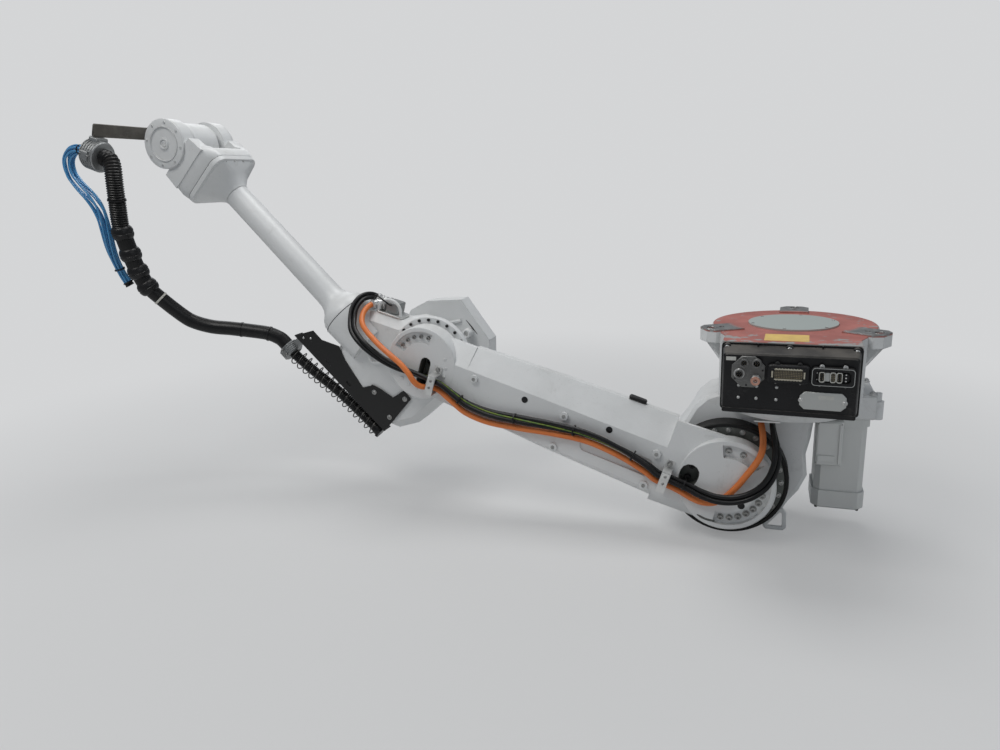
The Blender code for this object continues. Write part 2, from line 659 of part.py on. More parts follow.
def build_lower_arm(at, paint, black, metal):
    """The lower arm: a faceted beam between two round heads."""
    # Each station: place along the arm as a share of its length, then top, upper crease, lower crease
    # and bottom as shares of the large head's radius.
    station_shares = ((0.0, 0.975, 0.36, -0.80, -1.0), (0.19, 0.905, 0.31, -0.77, -1.06),
                      (0.19, 0.905, 0.31, -0.77, -1.06), (0.55, 0.85, 0.30, -0.75, -0.98),
                      (0.845, 0.76, 0.28, -0.72, -0.86), (0.845, 0.76, 0.28, -0.72, -0.86),
                      (1.0, 0.74, 0.26, -0.66, -0.76))
    backs = (HEAD2_BACK, HEAD2_BACK, BEAM_BACK, BEAM_BACK, BEAM_BACK, BEAM_BACK3, BEAM_BACK3)
    rings = []
    for (along, *heights), back in zip(station_shares, backs):
        top, upper, lower, bottom = (h * HEAD2_R for h in heights)
        face = BEAM_FACE2 + (BEAM_FACE3 - BEAM_FACE2) * along
        rings.append(arm_section(along * LOWER_LENGTH, top, upper, lower, bottom, face, back))
    rings[2] = [Vector((BEAM_START, p.y, p.z)) for p in rings[2]]
    rings[1] = [Vector((BEAM_START - GAP, p.y, p.z)) for p in rings[1]]
    rings[5] = [Vector((BEAM_STOP + GAP, p.y, p.z)) for p in rings[5]]
    rings[4] = [Vector((BEAM_STOP, p.y, p.z)) for p in rings[4]]
    far = (LOWER_LENGTH, 0.0)
    hub2 = RING2_FACE + GAP
    hub3 = RING3_FACE + GAP
    parts = [loft(rings)]
    parts.append(turned([(0, hub2), (HUB2_R, hub2), (HUB2_R, HEAD2_BACK), (HEAD2_R - FINE_BEVEL, HEAD2_BACK),
                         (HEAD2_R, HEAD2_BACK + FINE_BEVEL), (HEAD2_R, HEAD2_FACE - FINE_BEVEL),
                         (HEAD2_R - FINE_BEVEL, HEAD2_FACE), (0, HEAD2_FACE)], "Y", steps=64))
    parts.append(turned([(0, hub3), (HUB3_R, hub3), (HUB3_R, BEAM_BACK3), (HEAD3_R - FINE_BEVEL, BEAM_BACK3),
                         (HEAD3_R, BEAM_BACK3 + FINE_BEVEL), (HEAD3_R, HEAD3_FACE - FINE_BEVEL),
                         (HEAD3_R - FINE_BEVEL, HEAD3_FACE), (0, HEAD3_FACE)], "Y", far, 56))
    boss_shares = ((0.507, 0.113), (0.510, -0.68), (0.212, 0.093), (0.215, -0.70), (0.814, 0.14))
    for along, up in boss_shares:
        centre = (along * LOWER_LENGTH, up * HEAD2_R)
        surface = BEAM_FACE2 + (BEAM_FACE3 - BEAM_FACE2) * along
        parts.append(rod(BOSS_R, "Y", surface - BOSS_H * 2, surface + BOSS_H, centre, 20))
    cuts = []
    for start, stop in ((152, 268), (66, 128)):
        ring = sector(BOLT_RING_IN, BOLT_RING_OUT, start, stop)
        cuts.append(prism(ring, "Y", HEAD2_FACE - RECESS, HEAD2_FACE + OVERRUN))
    oval_at = (0.105 * LOWER_LENGTH, -0.09 * HEAD2_R)
    pocket = shifted([(y, x) for x, y in oval(HEAD2_R * 0.52, HEAD2_R * 0.40)], *oval_at)
    cuts.append(prism(pocket, "Y", HEAD2_FACE - OVAL_DEPTH, HEAD2_FACE + OVERRUN))
    slot_at = (0.985 * LOWER_LENGTH, -0.17 * HEAD2_R)
    slot = shifted([(y, x) for x, y in oval(HEAD2_R * 0.72, HEAD2_R * 0.26)], *slot_at)
    cuts.append(prism(slot, "Y", HEAD3_FACE - SLOT_DEPTH, HEAD3_FACE + OVERRUN))
    moon = shifted(sector(HEAD3_R * 0.58, HEAD3_R * 0.88, 15, 98, 12), *far)
    cuts.append(prism(moon, "Y", HEAD3_FACE - RECESS, HEAD3_FACE + OVERRUN))
    long_at = (0.322 * LOWER_LENGTH, -0.30 * HEAD2_R)
    long_pocket = shifted(rounded(LOWER_LENGTH * 0.224, HEAD2_R * 0.40, HEAD2_R * 0.12), *long_at)
    face_there = BEAM_FACE2 + (BEAM_FACE3 - BEAM_FACE2) * 0.32
    cuts.append(prism(long_pocket, "Y", face_there - LONG_DEPTH, HEAD2_FACE + OVERRUN))
    solid("lower_arm_casting", parts, cuts, paint, at)

    top_there = HEAD2_R * (0.905 - 0.055 * (CAP_AT / LOWER_LENGTH - 0.19) / 0.36) + GAP + FINE_BEVEL / 3
    cap = shifted(rounded(CAP_L, CAP_W, CAP_W / 3), CAP_AT, BEAM_BACK + CAST_BEVEL + CAP_W / 2)
    add("lower_arm_cap", prism(cap, "Z", top_there, top_there + CAP_T, FINE_BEVEL), black, at)


def cable_clamp(name, along, up, at, metal):
    """A sheet bracket on the arm's face with a hoop over the cables."""
    surface = BEAM_FACE2 + (BEAM_FACE3 - BEAM_FACE2) * along / LOWER_LENGTH
    if along + CLAMP_W / 2 > LOWER_LENGTH - HEAD3_R:
        surface = max(surface, HEAD3_FACE)
    if along - CLAMP_W / 2 < HEAD2_R:
        surface = max(surface, HEAD2_FACE)
    surface += GAP
    hoop = 2 * SIGNAL_R + 2 * CABLE_LIFT + CLAMP_LEG
    reach = CLAMP_REACH
    profile_shares = ((0.0, 0.0), (1.0, 0.0), (1.0, 1.0), (0.0, 1.0))
    outer = sized(profile_shares, reach + 2 * CLAMP_LEG, hoop + CLAMP_LEG)
    inner = shifted(sized(profile_shares, reach, hoop + OVERRUN), CLAMP_LEG, -OVERRUN)
    start = up - reach - CLAMP_LEG
    shell = loft([[Vector((x, surface + h, start + w)) for w, h in outer]
                  for x in (along - CLAMP_W / 2, along + CLAMP_W / 2)])
    cut = loft([[Vector((x, surface + h, start + w)) for w, h in inner]
                for x in (along - CLAMP_W, along + CLAMP_W)])
    foot = loft([[Vector((x, surface + h, z)) for z, h in
                  ((up, 0.0), (up + CLAMP_FOOT, 0.0), (up + CLAMP_FOOT, CLAMP_LEG), (up, CLAMP_LEG))]
                 for x in (along - CLAMP_W / 2, along + CLAMP_W / 2)])
    solid(name, [shell, foot], [cut], metal, at)


def build_elbow(at, paint, metal):
    """The elbow housing, the motor hood, the hose tray and what it carries."""
    side_shares = ((1.71, -0.46), (1.60, -0.36), (1.05, -0.05), (0.86, 0.22), (0.57, 0.40), (0.0, 0.48),
                   (-0.51, 0.40), (-0.77, 0.0), (-0.80, -0.57), (-0.74, -1.43), (-0.51, -1.88),
                   (-0.30, -1.99), (0.72, -2.00), (1.35, -1.95), (1.65, -1.73), (1.71, -1.54))
    outline = sized(side_shares, ELBOW_OFFSET)
    small = inset(outline, ELBOW_CHAMFER)
    levels = ((-ELBOW_FAR, small), (-ELBOW_FAR + ELBOW_CHAMFER, outline),
              (ELBOW_NEAR - ELBOW_CHAMFER, outline), (ELBOW_NEAR, small))
    parts = [loft([[place("Y", level, *p) for p in ring] for level, ring in levels])]
    tube_axis = (0.0, -ELBOW_OFFSET)
    parts.append(turned([(0, SLEEVE_START), (SLEEVE_R * 0.96, SLEEVE_START), (SLEEVE_R, SEAM - CAST_BEVEL),
                         (SLEEVE_R, SEAM), (0, SEAM)], "X", tube_axis, 48))
    solid("elbow_housing", parts, [], paint, at)
    near = ELBOW_NEAR + GAP
    add("axis3_gearbox_ring", turned([(0, near), (RING3_R, near), (RING3_R, RING3_FACE - FINE_BEVEL),
                                      (RING3_R - FINE_BEVEL, RING3_FACE), (0, RING3_FACE)], "Y", (0, 0), 56),
        paint, at)

    hood_shares = ((1.21, -0.07), (1.07, 0.37), (0.55, 0.97), (-0.50, 0.81), (-0.80, 0.51), (-0.86, -0.11),
                   (-0.69, -0.69), (0.29, -0.86), (1.03, -0.63))
    hood = sized(hood_shares, ELBOW_OFFSET)
    start = -ELBOW_FAR - GAP
    levels = ((start, hood), (start - HOOD_DEPTH * 0.55, hood),
              (start - HOOD_DEPTH, inset(hood, HOOD_CHAMFER)))
    add("axis3_motor_hood", loft([[place("Y", level, *p) for p in ring] for level, ring in levels]), paint, at)

    low_end, high_end = Vector(outline[1]), Vector(outline[2])
    seat = (low_end + high_end) / 2
    slope = math.atan2(high_end.y - low_end.y, low_end.x - high_end.x)
    stand = Matrix.Translation((seat.x, PLUG_SIDE, seat.y)) @ Matrix.Rotation(slope, 4, "Y")
    foot = prism(rounded(HOOP_R * 2.3, HOOP_R * 1.8, CAST_BEVEL), "Z", GAP, GAP + PLUG_SEAT, FINE_BEVEL / 2)
    foot.transform(stand)
    add("elbow_connector_base", foot, paint, at)
    top = 2 * GAP + PLUG_SEAT
    block = prism(shifted(rounded(PLUG_W, PLUG_D, CAST_BEVEL / 2), 0, -PLUG_BACK), "Z", top, top + PLUG_H, FINE_BEVEL)
    block.transform(stand)
    add("elbow_connector_block", block, metal, at)
    arch = [Vector((HOOP_R, HOOP_OUT, top)), Vector((HOOP_R, HOOP_OUT, top + HOOP_T))]
    for step in range(1, 16):
        angle = math.pi * step / 16
        arch.append(Vector((HOOP_R * math.cos(angle), HOOP_OUT, top + HOOP_T + HOOP_R * math.sin(angle))))
    arch += [Vector((-HOOP_R, HOOP_OUT, top + HOOP_T)), Vector((-HOOP_R, HOOP_OUT, top))]
    tube("elbow_connector_hoop", [stand @ p for p in arch], HOOP_T, metal, at, 2, smooth=False)


def build_tray(at, black, metal, rubber):
    """The bent sheet tray under the elbow, its bracket plate, its hose and the hose's clamp."""
    near = ELBOW_NEAR + GAP
    tray_shares = ((2.58, -2.17), (2.33, -1.73), (2.05, -1.73), (1.66, -1.51), (1.34, -1.64), (0.66, -1.78),
                   (0.54, -1.57), (0.35, -1.50), (0.02, -1.41), (-0.03, -1.11), (-0.27, -1.11),
                   (-0.31, -1.71), (-0.35, -2.13))
    outline = sized(tray_shares, ELBOW_OFFSET)
    sheet = prism(outline, "Y", near, near + TRAY_T)
    lift = Vector((0, 0, TRAY_T))
    outer = Vector((0, near + TRAY_T, 0))
    inner = Vector((0, near - TRAY_FLANGE, 0))
    flange = loft([[p + outer, p + inner, p + inner + lift, p + outer + lift]
                   for p in (Vector((x, 0, z)) for x, z in (outline[0], outline[-1]))])
    slot_shares = ((0.30, -1.93), (0.95, -1.98), (1.60, -2.00))
    slots = [prism(shifted(oval(SLOT_L, SLOT_W), *centre), "Y", near - OVERRUN, near + TRAY_T + OVERRUN)
             for centre in sized(slot_shares, ELBOW_OFFSET)]
    solid("hose_tray", [sheet, flange], slots, black, at)
    plate_shares = ((0.55, -2.11), (0.55, -1.54), (0.36, -1.46), (0.02, -1.375), (-0.045, -1.05),
                    (-0.285, -1.07), (-0.335, -1.76), (-0.36, -2.11))
    seat = near + TRAY_T + GAP
    add("tray_bracket", prism(sized(plate_shares, ELBOW_OFFSET), "Y", seat, seat + BRACKET_T), black, at)

    clamp_x, clamp_y, clamp_z = TRAY_CLAMP_AT
    half = TRAY_CLAMP_W / 2
    ring = turned([(0, clamp_x - half), (TRAY_CLAMP_R - FINE_BEVEL, clamp_x - half),
                   (TRAY_CLAMP_R, clamp_x - half + FINE_BEVEL), (TRAY_CLAMP_R, clamp_x + half - FINE_BEVEL),
                   (TRAY_CLAMP_R - FINE_BEVEL, clamp_x + half), (0, clamp_x + half)],
                  "X", (clamp_y, clamp_z), 32)
    share = (clamp_x - outline[-1][0]) / (outline[0][0] - outline[-1][0])
    under = outline[-1][1] + share * (outline[0][1] - outline[-1][1]) - GAP
    neck = prism([(clamp_x - half, clamp_y - half * 0.6), (clamp_x + half * 0.4, clamp_y - half * 0.6),
                  (clamp_x + half * 0.4, clamp_y + half * 0.6), (clamp_x - half, clamp_y + half * 0.6)],
                 "Z", clamp_z, under - TRAY_T / 4)
    solid("tray_hose_clamp", [ring, neck], [], metal, at)
    end = clamp_x - half - GAP
    tube("tray_hose", [(end, clamp_y, clamp_z), (end - SPRING_HOSE_R, clamp_y, clamp_z),
                       (end - 0.10, clamp_y, clamp_z + 0.010),
                       (end - 0.25, clamp_y, clamp_z + 0.034), (end - 0.46, clamp_y, clamp_z + 0.048)],
         SPRING_HOSE_R, rubber, at)


def build_wrist(at, paint):
    """The turning tube of the upper arm and the fork that carries the wrist."""
    start = SEAM + GAP
    profile = [(0, start), (FLARE_R, start), (FLARE_R * 0.98, start + CAST_BEVEL * 1.5),
               (FLARE_R * 0.88, start + CAST_BEVEL * 3), (FLARE_R * 0.70, start + CAST_BEVEL * 4.4),
               (FLARE_R * 0.59, start + CAST_BEVEL * 5.8), (TUBE_R * 1.03, start + CAST_BEVEL * 7.5),
               (TUBE_R, start + CAST_BEVEL * 10), (TUBE_TIP_R, FORK_START), (0, FORK_START)]
    add("arm_tube", turned(profile, "X", steps=48), paint, at, 50)

    root = WRIST_REACH
    begin = FORK_START + GAP
    collar = []
    # Each station: place from the collar's start to the fork's crotch, half width, half height, corner
    # radius, all as shares.
    station_shares = ((0.0, 0.43, 0.43, 1.0), (0.08, 0.46, 0.46, 1.0), (0.30, 0.72, 0.70, 0.85),
                      (0.46, 0.98, 0.93, 0.45), (0.60, 1.03, 1.0, 0.40), (0.62, 1.05, 1.02, 0.40),
                      (0.80, 1.12, 1.02, 0.36), (0.97, 1.175, 0.93, 0.34), (1.13, 1.18, 0.80, 0.34))
    length = root - CROTCH - begin
    for along, wide, high, corner in station_shares:
        width, height = wide * COLLAR_HALF * 2, high * COLLAR_HALF * 2
        radius = corner * min(width, height) / 2 - GAP
        ring = rounded(width, height, radius, 6)
        collar.append([place("X", begin + along * length, *p) for p in ring])
    parts = [loft(collar)]
    for side in (1, -1):
        arm = [(root - CROTCH * 0.55, FORK_HALF), (root - CROTCH * 1.1, FORK_HALF * 1.06),
               (root - CROTCH * 1.1, -FORK_HALF * 1.06), (root - CROTCH * 0.55, -FORK_HALF)]
        levels = sorted((side * ARM_IN, side * ARM_OUT))
        parts.append(prism(arm, "Y", *levels))
        parts.append(turned([(0, levels[0]), (FORK_HALF, levels[0]), (FORK_HALF, levels[1]), (0, levels[1])],
                            "Y", (root, 0.0), 56))
    window = [(root + FORK_HALF * 1.2, -COLLAR_HALF * 1.3), (root + FORK_HALF * 1.2, COLLAR_HALF * 1.3),
              (root - CROTCH * 1.2, COLLAR_HALF * 1.3), (root - CROTCH * 1.03, COLLAR_HALF * 0.6),
              (root - CROTCH * 1.03, -COLLAR_HALF * 0.6), (root - CROTCH * 1.2, -COLLAR_HALF * 1.3)]
    cuts = [prism(window, "Y", -ARM_IN, ARM_IN)]
    pocket = rounded(CROTCH * 0.62, ARM_OUT * 0.26, ARM_OUT * 0.06)
    for side in (1, -1):
        lower = shifted(pocket, root - CROTCH * 0.62, side * (ARM_IN + ARM_OUT) / 2)
        cuts.append(prism(lower, "Z", -COLLAR_HALF * 1.2, -FORK_HALF + FINE_BEVEL * 3))
    solid("wrist_fork", parts, cuts, paint, at)
    for name, side in (("wrist_cover_near", 1), ("wrist_cover_far", -1)):
        face = ARM_OUT + GAP
        steps = [(0, 0), (COVER_R, 0), (COVER_R, COVER_T - FINE_BEVEL / 2),
                 (COVER_R - FINE_BEVEL, COVER_T), (COVER_RIM_R, COVER_T), (COVER_RIM_R, COVER_T + COVER_STEP),
                 (COVER_RIM_R * 0.93, COVER_T + COVER_STEP), (COVER_RIM_R * 0.91, COVER_T - COVER_STEP),
                 (COVER_BOSS_R * 1.15, COVER_T - COVER_STEP), (COVER_BOSS_R, COVER_T + COVER_STEP),
                 (COVER_BOSS_R * 0.7, COVER_T + COVER_STEP), (COVER_BOSS_R * 0.6, COVER_T - COVER_STEP),
                 (0, COVER_T - COVER_STEP)]
        cover = turned([(r, side * (face + h)) for r, h in steps], "Y", (root, 0.0), 48)
        add(name, cover, paint, at)


def build_tilt(at, paint):
    """The tilting unit between the fork's arms."""
    reach = ARM_IN - GAP
    shell = turned([(0, -reach), (TRUNNION_R, -reach), (TRUNNION_R, -TILT_HALF),
                    (TILT_R - CAST_BEVEL, -TILT_HALF), (TILT_R, -TILT_HALF + CAST_BEVEL),
                    (TILT_R, TILT_HALF - CAST_BEVEL), (TILT_R - CAST_BEVEL, TILT_HALF),
                    (TRUNNION_R, TILT_HALF), (TRUNNION_R, reach), (0, reach)], "Y", steps=48)
    neck = turned([(0, 0), (TILT_R * 0.9, 0), (TILT_R * 0.88, TILT_R * 0.6), (TILT_NECK_R, TILT_NECK_END * 0.92),
                   (TILT_NECK_R, TILT_NECK_END), (0, TILT_NECK_END)], "X", steps=48)
    solid("tilt_housing", [shell, neck], [], paint, at)


def build_tool(at, steel, bare, grey, black):
    """The tool flange, the flat bar bolted on it and the hose clamp at the bar's end."""
    start = TILT_NECK_END + GAP
    add("tool_flange_disc", turned([(0, start), (FLANGE_R * 0.8, start), (FLANGE_R * 0.8, start + FLANGE_STEP),
                                    (FLANGE_R, start + FLANGE_STEP), (FLANGE_R, FLANGE_REACH), (0, FLANGE_REACH)],
                                   "X", steps=40), steel, at)
    back = FLANGE_REACH + GAP
    middle = (BAR_END - BAR_START) / 2
    bar = shifted(rounded(BAR_END + BAR_START, BAR_W, BAR_ROUND, 2), middle, 0)
    add("tool_bar", prism(bar, "X", back, back + BAR_T, FINE_BEVEL / 4), bare, at)
    centre = (GRIP_AT, -GRIP_DROP)
    mid = back + BAR_T / 2
    half = GRIP_L / 2
    ring = turned([(0, mid - half), (GRIP_R - FINE_BEVEL, mid - half), (GRIP_R, mid - half + FINE_BEVEL),
                   (GRIP_R, mid + half - FINE_BEVEL), (GRIP_R - FINE_BEVEL, mid + half), (0, mid + half)],
                  "X", centre, 40)
    ears = prism(shifted(rounded(GRIP_R * 0.9, GRIP_DROP - BAR_W / 2 + GRIP_EAR, BAR_ROUND), GRIP_AT,
                         -BAR_W / 2 - GAP - (GRIP_DROP - BAR_W / 2 + GRIP_EAR) / 2),
                 "X", mid - half * 0.6, mid + half * 0.6)
    side_ear = prism(shifted(rounded(GRIP_R * 2.25, GRIP_EAR * 2, BAR_ROUND), *centre), "X",
                     mid - half * 0.55, mid + half * 0.55)
    solid("hose_clamp", [ring, ears, side_ear], [], grey, at)


def build_cables(lower, upper, orange, black, rubber, blue):
    """The cables that cross the two arm joints and the hoses that run to the tool."""
    # Routes are in the arm's own frame, from the turret's strap to the elbow's connectors.
    surface = CABLE_LIFT + BEAM_FACE2
    low = surface + POWER_R
    high = surface + SIGNAL_R
    enter = CLAMP_2_AT - CLAMP_W / 2 - GAP
    strap = [(-0.029, 0.098, 0.2180), (-0.0328, 0.098, 0.2066), (-0.044, 0.138, 0.190), (-0.053, 0.176, 0.168),
             (-0.056, 0.193, 0.140), (-0.051, 0.190, 0.100), (-0.042, low, 0.060), (-0.030, low, 0.015),
             (-0.012, low, -0.030), (0.012, low, -0.062),
             (0.045, low, -0.077), (0.080, low, -0.078), (0.115, low, -0.072),
             (enter - 2 * POWER_R, low, -0.068), (enter, low, -0.068)]
    tube("power_cable_axis2_loop", strap, POWER_R, orange, lower)
    strap = [(-0.060, 0.098, 0.2286), (-0.0638, 0.098, 0.2172), (-0.076, 0.136, 0.199), (-0.092, 0.176, 0.174),
             (-0.103, 0.202, 0.142), (-0.106, 0.212, 0.100), (-0.096, 0.217, 0.055), (-0.069, 0.219, 0.013),
             (-0.030, 0.219, -0.018),
             (0.015, 0.216, -0.036), (0.061, 0.208, -0.042), (0.105, 0.199, -0.041),
             (enter - SIGNAL_R, high + CABLE_LIFT, -0.040), (enter, high + CABLE_LIFT, -0.040)]
    tube("signal_cables_axis2_loop", strap, SIGNAL_R, black, lower)
    slope = BEAM_FACE3 - BEAM_FACE2
    start, stop = CLAMP_2_AT - CLAMP_W / 2 + GAP, CLAMP_3_AT + CLAMP_W / 2 - GAP
    face_drop = slope * start / LOWER_LENGTH
    power_run = ((0.0, -0.068), (0.025, -0.068), (0.05, -0.066), (0.10, -0.052), (0.20, -0.036), (0.33, -0.032),
                 (0.46, -0.052), (0.60, -0.082), (0.72, -0.104), (0.82, -0.104), (0.89, -0.084), (0.95, -0.064),
                 (0.98, -0.062), (1.0, -0.062))
    signal_run = ((0.0, -0.040), (0.025, -0.040), (0.05, -0.038), (0.10, -0.023), (0.20, -0.007), (0.33, -0.003),
                  (0.46, -0.020), (0.60, -0.046), (0.72, -0.066), (0.82, -0.067), (0.89, -0.051),
                  (0.95, -0.035), (0.98, -0.034), (1.0, -0.034))
    for name, run, radius, look, extra in (("power_cable_arm_run", power_run, POWER_R, orange, 0.0),
                                           ("signal_cables_arm_run", signal_run, SIGNAL_R, black, 0.004)):
        route = []
        for share, up in run:
            along = start + share * (stop - start)
            route.append((along, surface + radius + extra + slope * along / LOWER_LENGTH - face_drop, up))
        tube(name, route, radius, look, lower)
    begin = stop + GAP
    low3 = surface + slope * begin / LOWER_LENGTH - face_drop + POWER_R
    high3 = surface + slope * begin / LOWER_LENGTH - face_drop + SIGNAL_R + 0.004
    power = [(begin, low3, -0.062), (begin + POWER_R, low3, -0.062), (1.062, 0.198, -0.064),
             (1.084, 0.214, -0.050), (1.108, 0.218, -0.028), (1.145, 0.214, -0.008), (1.190, 0.208, 0.006),
             (1.240, 0.194, 0.017), (1.283, 0.175, 0.026), (1.325, 0.152, 0.034),
             (1.365, 0.122, 0.044), (1.388, 0.092, 0.060), (1.397, 0.060, 0.080), (1.392, 0.030, 0.096),
             (1.3740, 0.002, 0.1030), (1.3440, 0.002, 0.1039)]
    tube("power_cable_axis3_loop", power, POWER_R, orange, lower)
    signal = [(begin, high3, -0.034), (begin + POWER_R, high3, -0.034), (1.070, 0.181, -0.034), (1.100, 0.180, -0.035),
              (1.140, 0.180, -0.037), (1.187, 0.181, -0.036), (1.239, 0.182, -0.028), (1.292, 0.180, -0.014),
              (1.340, 0.172, 0.003), (1.384, 0.150, 0.022), (1.413, 0.115, 0.044), (1.431, 0.082, 0.079),
              (1.431, 0.040, 0.110), (1.414, -0.008, 0.117), (1.3770, -0.032, 0.1029), (1.3440, -0.032, 0.1039)]
    tube("signal_cables_axis3_loop", signal, SIGNAL_R, black, lower)

    hose = [(1.3277, 0.300, -0.3025), (1.3010, 0.300, -0.2891), (1.2720, 0.304, -0.3030),
            (1.2400, 0.304, -0.3380), (1.1930, 0.298, -0.3970), (1.1410, 0.285, -0.4680),
            (1.0730, 0.265, -0.5310), (1.0200, 0.245, -0.5770), (0.9640, 0.225, -0.6100),
            (0.9000, 0.195, -0.6250), (0.8160, 0.160, -0.6320), (0.7730, 0.140, -0.6280),
            (0.7150, 0.115, -0.6000), (0.6560, 0.090, -0.5540), (0.5990, 0.065, -0.5120),
            (0.5450, 0.045, -0.4740), (0.5050, 0.034, -0.4580),
            (TRAY_CLAMP_AT[0] + TRAY_CLAMP_W / 2 + HOSE_R, TRAY_CLAMP_AT[1], TRAY_CLAMP_AT[2]),
            (TRAY_CLAMP_AT[0] + TRAY_CLAMP_W / 2 + GAP, TRAY_CLAMP_AT[1], TRAY_CLAMP_AT[2])]
    tube("wrist_hose", hose, HOSE_R - FINE_BEVEL, rubber, upper)
    air = [(1.3820, 0.300, -0.3298), (1.4085, 0.300, -0.3432), (1.4440, 0.300, -0.3750),
           (1.4300, 0.300, -0.4200), (1.3700, 0.300, -0.4500), (1.3030, 0.300, -0.4680),
           (1.2350, 0.297, -0.4990), (1.1760, 0.288, -0.5500), (1.1220, 0.272, -0.6080),
           (1.0650, 0.252, -0.6480), (1.0100, 0.236, -0.6690)]
    tube("air_tube_bundle", air, AIR_R, blue, upper)


def main():
    """Build the whole arm."""
    for old in list(bpy.data.objects):
        bpy.data.objects.remove(old)
    paint = material("white_paint", (0.78, 0.79, 0.79), 0.45)
    motor_paint = material("motor_paint", (0.66, 0.67, 0.66), 0.5)
    disc_paint = material("disc_paint", (0.46, 0.50, 0.48), 0.45)
    grey_plate = material("grey_plate", (0.55, 0.56, 0.55), 0.4, 0.4)
    black = material("black_moulding", (0.02, 0.02, 0.022), 0.45)
    sheet = material("black_sheet", (0.015, 0.015, 0.017), 0.5)
    rubber = material("black_rubber", (0.02, 0.02, 0.02), 0.7)
    steel = material("machined_steel", (0.50, 0.50, 0.50), 0.35, 1.0)
    bare = material("bare_bar", (0.20, 0.19, 0.17), 0.5, 0.8)
    bright = material("bright_metal", (0.62, 0.62, 0.62), 0.3, 1.0)
    brass = material("brass", (0.70, 0.40, 0.25), 0.35, 1.0)
    orange = material("orange_jacket", (0.78, 0.22, 0.06), 0.5)
    blue = material("blue_tubes", (0.10, 0.42, 0.75), 0.35)

    half_turn = math.pi
    base = pivot("base_frame", (0, 0, 0), (0, 0, -PANEL_TURN))
    turret = pivot("axis1", (0, 0, 0), (0, 0, 0))
    lower = pivot("axis2", (-AXIS2_OFFSET, 0, -AXIS2_DROP), (0, -LOWER_TURN, half_turn), turret)
    upper = pivot("axis3", (LOWER_LENGTH, 0, 0), (0, LOWER_TURN - UPPER_TURN, 0), lower)
    wrist = pivot("axis4", (0, 0, -ELBOW_OFFSET), (0, 0, 0), upper)
    tilt = pivot("axis5", (WRIST_REACH, 0, 0), (0, UPPER_TURN - FLANGE_TURN, 0), wrist)
    tool = pivot("axis6", (0, 0, 0), (0, 0, 0), tilt)

    build_base(base, paint, bright, disc_paint, black, grey_plate, brass)
    build_turret(turret, paint, motor_paint, bright, rubber, steel)
    build_lower_arm(lower, paint, black, bright)
    cable_clamp("cable_clamp_axis2", CLAMP_2_AT, CLAMP_2_UP, lower, bright)
    cable_clamp("cable_clamp_axis3", CLAMP_3_AT, CLAMP_3_UP, lower, bright)
    build_elbow(upper, paint, bright)
    build_tray(upper, sheet, bright, rubber)
    build_wrist(wrist, paint)
    build_tilt(tilt, paint)
    build_tool(tool, steel, bare, grey_plate, rubber)
    build_cables(lower, upper, orange, black, rubber, blue)


main()
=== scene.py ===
import json
import math

import bpy
import numpy as np
from mathutils import Matrix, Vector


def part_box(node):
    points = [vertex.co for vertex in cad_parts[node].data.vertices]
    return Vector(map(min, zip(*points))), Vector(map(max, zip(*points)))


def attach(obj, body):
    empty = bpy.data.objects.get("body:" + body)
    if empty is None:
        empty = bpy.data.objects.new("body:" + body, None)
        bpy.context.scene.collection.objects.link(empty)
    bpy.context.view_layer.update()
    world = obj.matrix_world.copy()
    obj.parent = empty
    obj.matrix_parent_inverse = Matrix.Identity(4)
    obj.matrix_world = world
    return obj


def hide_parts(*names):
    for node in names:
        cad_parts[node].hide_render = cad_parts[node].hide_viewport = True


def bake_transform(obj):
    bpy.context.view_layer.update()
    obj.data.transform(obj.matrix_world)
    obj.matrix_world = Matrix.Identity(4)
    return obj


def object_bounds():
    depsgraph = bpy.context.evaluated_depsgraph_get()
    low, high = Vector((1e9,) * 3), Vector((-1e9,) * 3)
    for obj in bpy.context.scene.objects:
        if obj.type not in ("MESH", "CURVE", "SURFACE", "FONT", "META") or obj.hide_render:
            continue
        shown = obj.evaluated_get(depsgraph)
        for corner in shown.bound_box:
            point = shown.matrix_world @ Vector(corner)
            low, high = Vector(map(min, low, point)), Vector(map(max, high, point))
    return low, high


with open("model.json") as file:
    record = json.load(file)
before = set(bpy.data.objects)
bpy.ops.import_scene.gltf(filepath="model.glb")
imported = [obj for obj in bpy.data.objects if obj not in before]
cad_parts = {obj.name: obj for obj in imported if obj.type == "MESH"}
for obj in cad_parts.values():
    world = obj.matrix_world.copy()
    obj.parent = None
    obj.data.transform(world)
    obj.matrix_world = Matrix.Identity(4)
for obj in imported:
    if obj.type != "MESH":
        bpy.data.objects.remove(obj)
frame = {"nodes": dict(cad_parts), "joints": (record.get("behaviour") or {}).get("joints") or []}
CAD_BOX = [list(corner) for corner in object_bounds()]

bl_info = {
    "name": "Hanging Robot Arm",
    "version": (1, 0, 0),
    "blender": (4, 5, 0),
    "location": "3D View > Sidebar > Robot Arm",
    "description": "Finishes the arm's castings and adds its cables, hoses, screws and connectors",
    "category": "Object",
}

TOWARD_VIEWER = (0.0, -1.0, 0.0)
PALE = (0.66, 0.667, 0.675, 1.0)
LOWER_LENGTH = 1.095
WRIST_REACH = 1.270
JOINTS = {joint["name"]: joint for joint in frame["joints"]}

# The connector panel on the base: its turn, its face, and the middles of what it carries, across and up.
PANEL_TURN = math.radians(3.0)
PANEL_FACE = -0.3833
COVER_LIP = -0.0160
LIP_SCREWS = (-0.1640, -0.0015, 0.1640)
PLATE_AT = (-0.102, -0.0686)
PLATE_HALF = 0.043
PIN_AT = (-0.001, -0.068)
MODULE_AT = (0.1075, -0.0695)
BLANK_AT = (0.087, -0.1395)
CONNECTOR_FRONT = 0.0183

